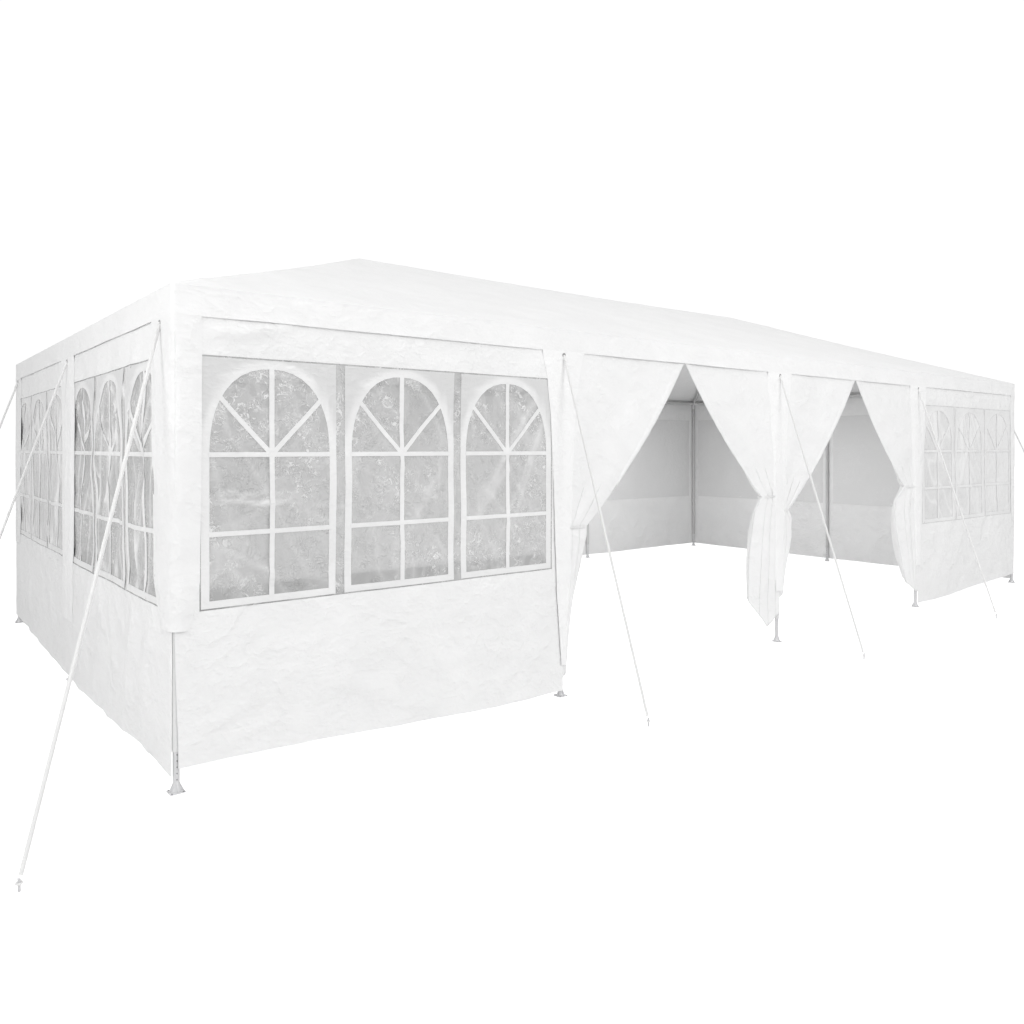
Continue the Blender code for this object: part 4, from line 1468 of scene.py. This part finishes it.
posts = [("front", number, along) for number, along in enumerate(postPlaces("front"), start=1)]
posts += [("back", number, along) for number, along in enumerate(postPlaces("back")[::-1], start=1)]
posts += [("left", "middle", 0.0), ("right", "middle", 0.0)]
postSeed = 30.0
for side, number, along in posts:
    postSeed += 1.7
    label = f"{side}_{number}"
    makePost(side, label, along)
    if number in (1, 5):
        corner = sidePoint(side, along, 0.0, 0.0)
        signX, signY = math.copysign(1, corner.x), math.copysign(1, corner.y)
        makeCornerDrape(f"postDrape_{label}", signX, signY, postSeed)
        outward = Vector((signX, 0, 0))
        halfLength, halfWidth = tent["halfLength"], tent["halfWidth"]
        beyondX, beyondY = rope["cornerEnd"]
        top = Vector((signX * (halfLength + 0.003), signY * (halfWidth - rope["cornerInset"]), rope["top"]))
        ground = Vector((signX * (halfLength + beyondX), signY * (halfWidth + beyondY), 0))
    else:
        makePostDrape(side, along, f"postDrape_{label}", postSeed)
        outward = sideTurn(side) @ Vector((0, -1, 0))
        top, ground = sidePoint(side, along, 0.003, rope["top"]), sidePoint(side, along, rope["reach"], 0.0)
    makeGuyRope(label, top, ground, outward)
print("posts, drapes and ropes made")


# ---- rails, rafters and their joints
def makeFrameTube(name, node, start, end):
    direction = end - start
    length = direction.length
    radius = tent["tubeRadius"]
    profile = [
        (0.0, 0.0), (radius - 0.001, 0.0), (radius, 0.001), (radius, length - 0.001),
        (radius - 0.001, length), (0.0, length),
    ]
    bm = spun(profile, 20)
    bmesh.ops.transform(bm, matrix=alongLine(start, direction), verts=bm.verts)
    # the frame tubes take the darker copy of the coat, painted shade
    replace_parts(sharpen(addPiece(name, bm, [shadedCoat])), node)


def makeJoint(name, centre, directions, length=0.075):
    # welded fitting: one sleeve along each tube that meets here
    radius = tent["tubeRadius"] + 0.0018
    whole = bmesh.new()
    for direction in directions:
        sleeve = spun([
            (0.0, 0.0), (radius - 0.0006, 0.0), (radius, 0.002), (radius, length - 0.0012),
            (radius - 0.0012, length), (tent["tubeRadius"] - 0.001, length),
        ], 20)
        place = alongLine(centre, direction.normalized())
        addInto(whole, sleeve, place, 0)
        spot = Matrix.Translation((0, -radius, length * 0.72)) @ Matrix.Rotation(math.pi / 2, 4, "X")
        addInto(whole, spun(screwProfile, 12), place @ spot, 1)
    sharpen(addPiece(name, whole, [powderCoat, zincFoot]))


def makeFrameTubes():
    lineX = tent["halfLength"] - tent["postLine"]
    lineY = tent["halfWidth"] - tent["postLine"]
    rail, pole, ridgeEnd = tent["railHeight"], tent["ridgePole"], tent["ridgeEnd"]
    radius = tent["tubeRadius"]
    rails = {
        side: (Vector((-lineX, y, rail)), Vector((lineX, y, rail)))
        for side, y in (("front", -lineY), ("back", lineY))
    }
    for side, x in (("left", -lineX), ("right", lineX)):
        rails[side] = Vector((x, -lineY + radius, rail)), Vector((x, lineY - radius, rail))
    for side, (start, end) in rails.items():
        makeFrameTube(f"eaveRail_{side}", f"eave_rail_{side}", start, end)
    makeFrameTube("ridgePole", "ridge_pole", Vector((-ridgeEnd, 0, pole)), Vector((ridgeEnd, 0, pole)))
    down = Vector((0, 0, -1))
    # the directions in which the rafters leave each place on the ridge
    ridgeMeets = {x: [] for x in (-ridgeEnd, -lineX / 2, 0.0, lineX / 2, ridgeEnd)}
    for side, y in (("front", -lineY), ("back", lineY)):
        for number, x in enumerate((-lineX / 2, 0.0, lineX / 2), start=1):
            low, high = Vector((x, y, rail)), Vector((x, 0, pole))
            makeFrameTube(f"rafter_{side}{number}", f"rafter_{side}_{number}", low, high)
            meets = [Vector((1, 0, 0)), Vector((-1, 0, 0)), down, high - low]
            makeJoint(f"eaveJoint_{side}_{number}", low, meets)
            ridgeMeets[x].append(low - high)
    for side, sign in (("left", -1), ("right", 1)):
        peak, low = Vector((sign * ridgeEnd, 0, pole)), Vector((sign * lineX, 0, rail))
        makeFrameTube(f"rafter_{side}End", f"rafter_{side}_end", low, peak)
        makeJoint(f"eaveJoint_{side}", low, [Vector((0, 1, 0)), Vector((0, -1, 0)), down, peak - low])
        ridgeMeets[sign * ridgeEnd].append(low - peak)
        for row, y in (("front", -lineY), ("back", lineY)):
            corner = Vector((sign * lineX, y, rail))
            makeFrameTube(f"hipRafter_{row}{side}", f"hip_rafter_{row}_{side}", corner, peak)
            meets = [Vector((-sign, 0, 0)), Vector((0, -y, 0)), down, peak - corner]
            makeJoint(f"cornerJoint_{row}_{side}", corner, meets)
            ridgeMeets[sign * ridgeEnd].append(corner - peak)
    for number, (x, meets) in enumerate(ridgeMeets.items(), start=1):
        ways = [Vector((sign, 0, 0)) for sign in (-1, 1) if abs(x + sign * 0.1) < ridgeEnd]
        makeJoint(f"ridgeJoint_{number}", Vector((x, 0, pole)), ways + meets)


makeFrameTubes()
print("frame tubes made")


# ---- door curtains, tied back to their posts
curtain = {
    "face": 0.0050,
    "top": 1.90,
    "acrossPoints": 120,
    "lobe": 0.40,
    "tuck": 1.5,
    "crowd": 1.35,
    "step": 0.016,
    "thickness": 0.0010,
    "turned": 0.25,
    "lastTuck": 0.25,
    "pinch": 0.035,
    "edgeBow": 0.06,
    "pastPost": 0.006,
    "depth": 0.050,
    "belly": 0.030,
    "tail": 0.045,
    "panelFold": 0.010,
    "fineFold": 0.003,
    "facets": 0.0012,
    "creases": 0.004,
    "hemBand": 0.935,
    "hemRoll": 0.0035,
    "flatWidth": 0.99,
}
# below the tie: how wide the bundle is at each height, and how high its hem hangs across it
curtains = {
    "door_curtain_1_left": {
        "post": 1, "sign": 1, "tie": (0.19, 0.90), "pleats": 4, "seed": 3.0,
        "widths": ((0.80, 0.176), (0.70, 0.150), (0.51, 0.098), (0.30, 0.056), (0.10, 0.030)),
        "hem": ((0.0, 0.10), (1.0, 0.13)),
    },
    "door_curtain_1_right": {
        "post": 2, "sign": -1, "tie": (0.21, 1.00), "pleats": 4, "seed": 11.0,
        "widths": ((0.90, 0.252), (0.77, 0.278), (0.56, 0.310), (0.31, 0.330), (0.10, 0.330)),
        "hem": ((0.0, 0.20), (0.15, 0.18), (0.42, 0.12), (1.0, 0.31)),
    },
    "door_curtain_2_left": {
        "post": 2, "sign": 1, "tie": (0.13, 0.90), "pleats": 5, "seed": 17.0,
        "widths": ((0.83, 0.176), (0.70, 0.180), (0.61, 0.152), (0.47, 0.098), (0.30, 0.048)),
        "hem": ((0.0, 0.30), (1.0, 0.33)),
    },
    "door_curtain_2_right": {
        "post": 3, "sign": -1, "tie": (0.23, 1.01), "pleats": 4, "seed": 23.0,
        "widths": (
            (0.89, 0.33), (0.79, 0.34), (0.63, 0.30), (0.45, 0.236),
            (0.31, 0.20), (0.24, 0.175), (0.13, 0.10),
        ),
        "hem": ((0.0, 0.13), (0.5, 0.14), (1.0, 0.21)),
    },
}


def alongRows(rows, value):
    # straight between the rows (place, amount), whichever way the places run
    for (x0, y0), (x1, y1) in zip(rows, rows[1:]):
        if (value - x0) * (value - x1) <= 0:
            return y0 + (y1 - y0) * (value - x0) / (x1 - x0)
    return rows[-1][1] if abs(value - rows[-1][0]) < abs(value - rows[0][0]) else rows[0][1]


def curtainSection(make, height):
    # inner edge, outer edge, depth and how gathered the cloth is at a height
    seam, pastPost, depth = walls["seamGap"], curtain["pastPost"], curtain["depth"]
    halfBay = (postPlaces("front")[1] - postPlaces("front")[0]) / 2 - seam
    hem, tip = tent["hem"], make["hem"][0][1]
    tieWidth, tieHeight = make["tie"]
    if height >= hem:
        return seam, halfBay, 0.0, 0.0
    if height >= tieHeight:
        share = (hem - height) / (hem - tieHeight)
        bowed = share - curtain["edgeBow"] * math.sin(math.pi * share)
        gather = smoothStep(0.66, 0.98, share)
        inner = seam - (seam + pastPost) * smoothStep(0.5, 0.9, share)
        return inner, halfBay + (tieWidth - halfBay) * bowed, depth, gather
    width = alongRows(((tieHeight, tieWidth), *make["widths"]), height)
    down = (tieHeight - height) / (tieHeight - tip)
    depth += curtain["belly"] * smoothStep(0.0, 0.35, down) - curtain["tail"] * smoothStep(0.55, 1.0, down)
    return -pastPost, width, depth, 1.0


def makeDoorCurtain(name, make):
    sign, seed = make["sign"], make["seed"]
    post = postPlaces("front")[make["post"]]
    tip, top = min(row[1] for row in make["hem"]), curtain["top"]
    tieX, tieZ = make["tie"]
    shares = evenLines(0.0, 1.0, 1.0 / curtain["acrossPoints"], (curtain["hemBand"],))
    if sign < 0:
        shares = shares[::-1]
    bm = gridOver(shares, evenLines(tip, top, curtain["step"], (tieZ,)))
    face = tent["halfWidth"] - curtain["face"]
    for vert in bm.verts:
        share, height = vert.co.x, vert.co.z
        pleat = min(make["pleats"] - 1e-6, share * make["pleats"])
        number, phase = math.floor(pleat), pleat % 1.0
        if phase < curtain["lobe"]:
            lobe = phase / curtain["lobe"]
            bow = 0.07 + 0.05 * math.sin(number * 2.3 + seed)
            within, tuck = 0.975 * lobe, -bow * math.sin(math.pi * lobe)
        else:
            lobe = (phase - curtain["lobe"]) / (1 - curtain["lobe"])
            within, tuck = 0.975 + 0.025 * lobe, math.sin(math.pi * lobe) ** 0.8
            if sign < 0 and number == make["pleats"] - 1:
                tuck *= curtain["lastTuck"]
        # the folds crowd towards the post, and the bundle ends in its own uneven hem
        pleated = ((number + within) / make["pleats"]) ** curtain["crowd"]
        if height < tieZ:
            bottom = alongRows(make["hem"], pleated) + 0.09 * max(0.0, tuck)
            height = bottom + (tieZ - bottom) * (height - tip) / (tieZ - tip)
        inner, outer, depth, gather = curtainSection(make, height)
        closed = smoothStep(0.0, 0.25, gather)
        place = share + (pleated - share) * closed
        place += 0.05 * gather * math.sin(math.pi * place) * swell(place * 3.0, height * 1.6, seed)
        pinch = bell(height - tieZ, curtain["pinch"])
        across = inner + (outer - inner) * place * (1 - 0.07 * pinch)
        # the free edge of the round bundle lies a little further back
        roundness = smoothStep(0.6, 1.0, pleated) ** 1.5
        deep = curtain["tuck"] * (1 - 0.3 * roundness) * max(tuck, 0.0) + min(tuck, 0.0) * (1 - 0.8 * pinch)
        turned = 0.07 + curtain["turned"] * smoothStep(0.0, 0.12, tieZ - height)
        back = smoothStep(0.2, 1.0, gather) * (0.001 + depth * (turned * roundness + deep))
        # the slack panel: broad folds that run down to the tie
        toTie = math.atan2(height - tieZ + 0.15, across - tieX * 0.4 + 0.1)
        spokes = swell(toTie * 4.2, seed, 2.0)
        slack = belowHem(height, 0.3) * (1 - gather) * smoothStep(0.02, 0.2, share)
        fine = ridge(across * 4.0 + height, height * 5.0, seed)
        flatOut = slack * (curtain["panelFold"] * spokes + curtain["fineFold"] * fine)
        crease = curtain["facets"] * facets(across * 14.0, height * 12.0, seed) * (0.4 + gather)
        wrinkle = gather * swell(across * 9.0, height * 5.0, seed + 5) * smoothStep(0.1, 0.3, pleated)
        crease += curtain["creases"] * wrinkle
        rolled = 0.0
        if share > curtain["hemBand"] and height < tent["hem"]:
            bandShare = (share - curtain["hemBand"]) / (1 - curtain["hemBand"])
            rolled = curtain["hemRoll"] * math.sin(math.pi * bandShare) ** 0.5
        vert.co = (post + sign * across, -(face + flatOut + crease + rolled - back), height)
    faceOutwards(bm, Vector((0, -1, 0)))
    label = name.replace("door_curtain", "doorCurtain")
    piece = addPiece(label, bm, [curtainSheeting], thickness=curtain["thickness"])
    sharpen(piece, 50)
    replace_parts(piece, name)
    tape = makeTie(label, post, sign, make["tie"])


tieBand = {
    "pastPost": 0.022,
    "share": 0.94,
    "behind": 0.029,
    "depth": 0.0295,
    "drop": 0.008,
    "rise": 0.006,
    "thickness": 0.0014,
    "points": 40,
}


def makeTie(label, post, sign, tie):
    # flat tape round the post and the gathered cloth
    width, height = tie
    left, right = -tieBand["pastPost"], width * tieBand["share"] + 0.001
    middleY = tieBand["behind"] - tent["halfWidth"]
    bm = bmesh.new()
    ring = bmesh.ops.create_circle(bm, segments=tieBand["points"], radius=1.0)["verts"]
    centre, half = (left + right) / 2, (right - left) / 2
    for vert in ring:
        angle = math.atan2(vert.co.y, vert.co.x)
        across = centre + half * math.copysign(abs(math.cos(angle)) ** 0.7, math.cos(angle))
        deep = tieBand["depth"] * math.copysign(abs(math.sin(angle)) ** 0.8, math.sin(angle))
        vert.co = (post + sign * across, middleY + deep, height - tieBand["drop"])
    rim = bm.edges[:]
    for _ in range(2):
        rim, added = growRim(bm, rim)
        bmesh.ops.translate(bm, vec=(0, 0, tieBand["rise"]), verts=added)
    bmesh.ops.recalc_face_normals(bm, faces=bm.faces[:])
    bm.normal_update()
    middle = Vector((post + sign * centre, middleY, height))
    if sum(face.normal.dot(face.calc_center_median() - middle) for face in bm.faces) < 0:
        bmesh.ops.reverse_faces(bm, faces=bm.faces[:])
    return addPiece(f"tie_{label}", bm, [tieTape], thickness=-tieBand["thickness"])


for name, make in curtains.items():
    makeDoorCurtain(name, make)
print("curtains made")
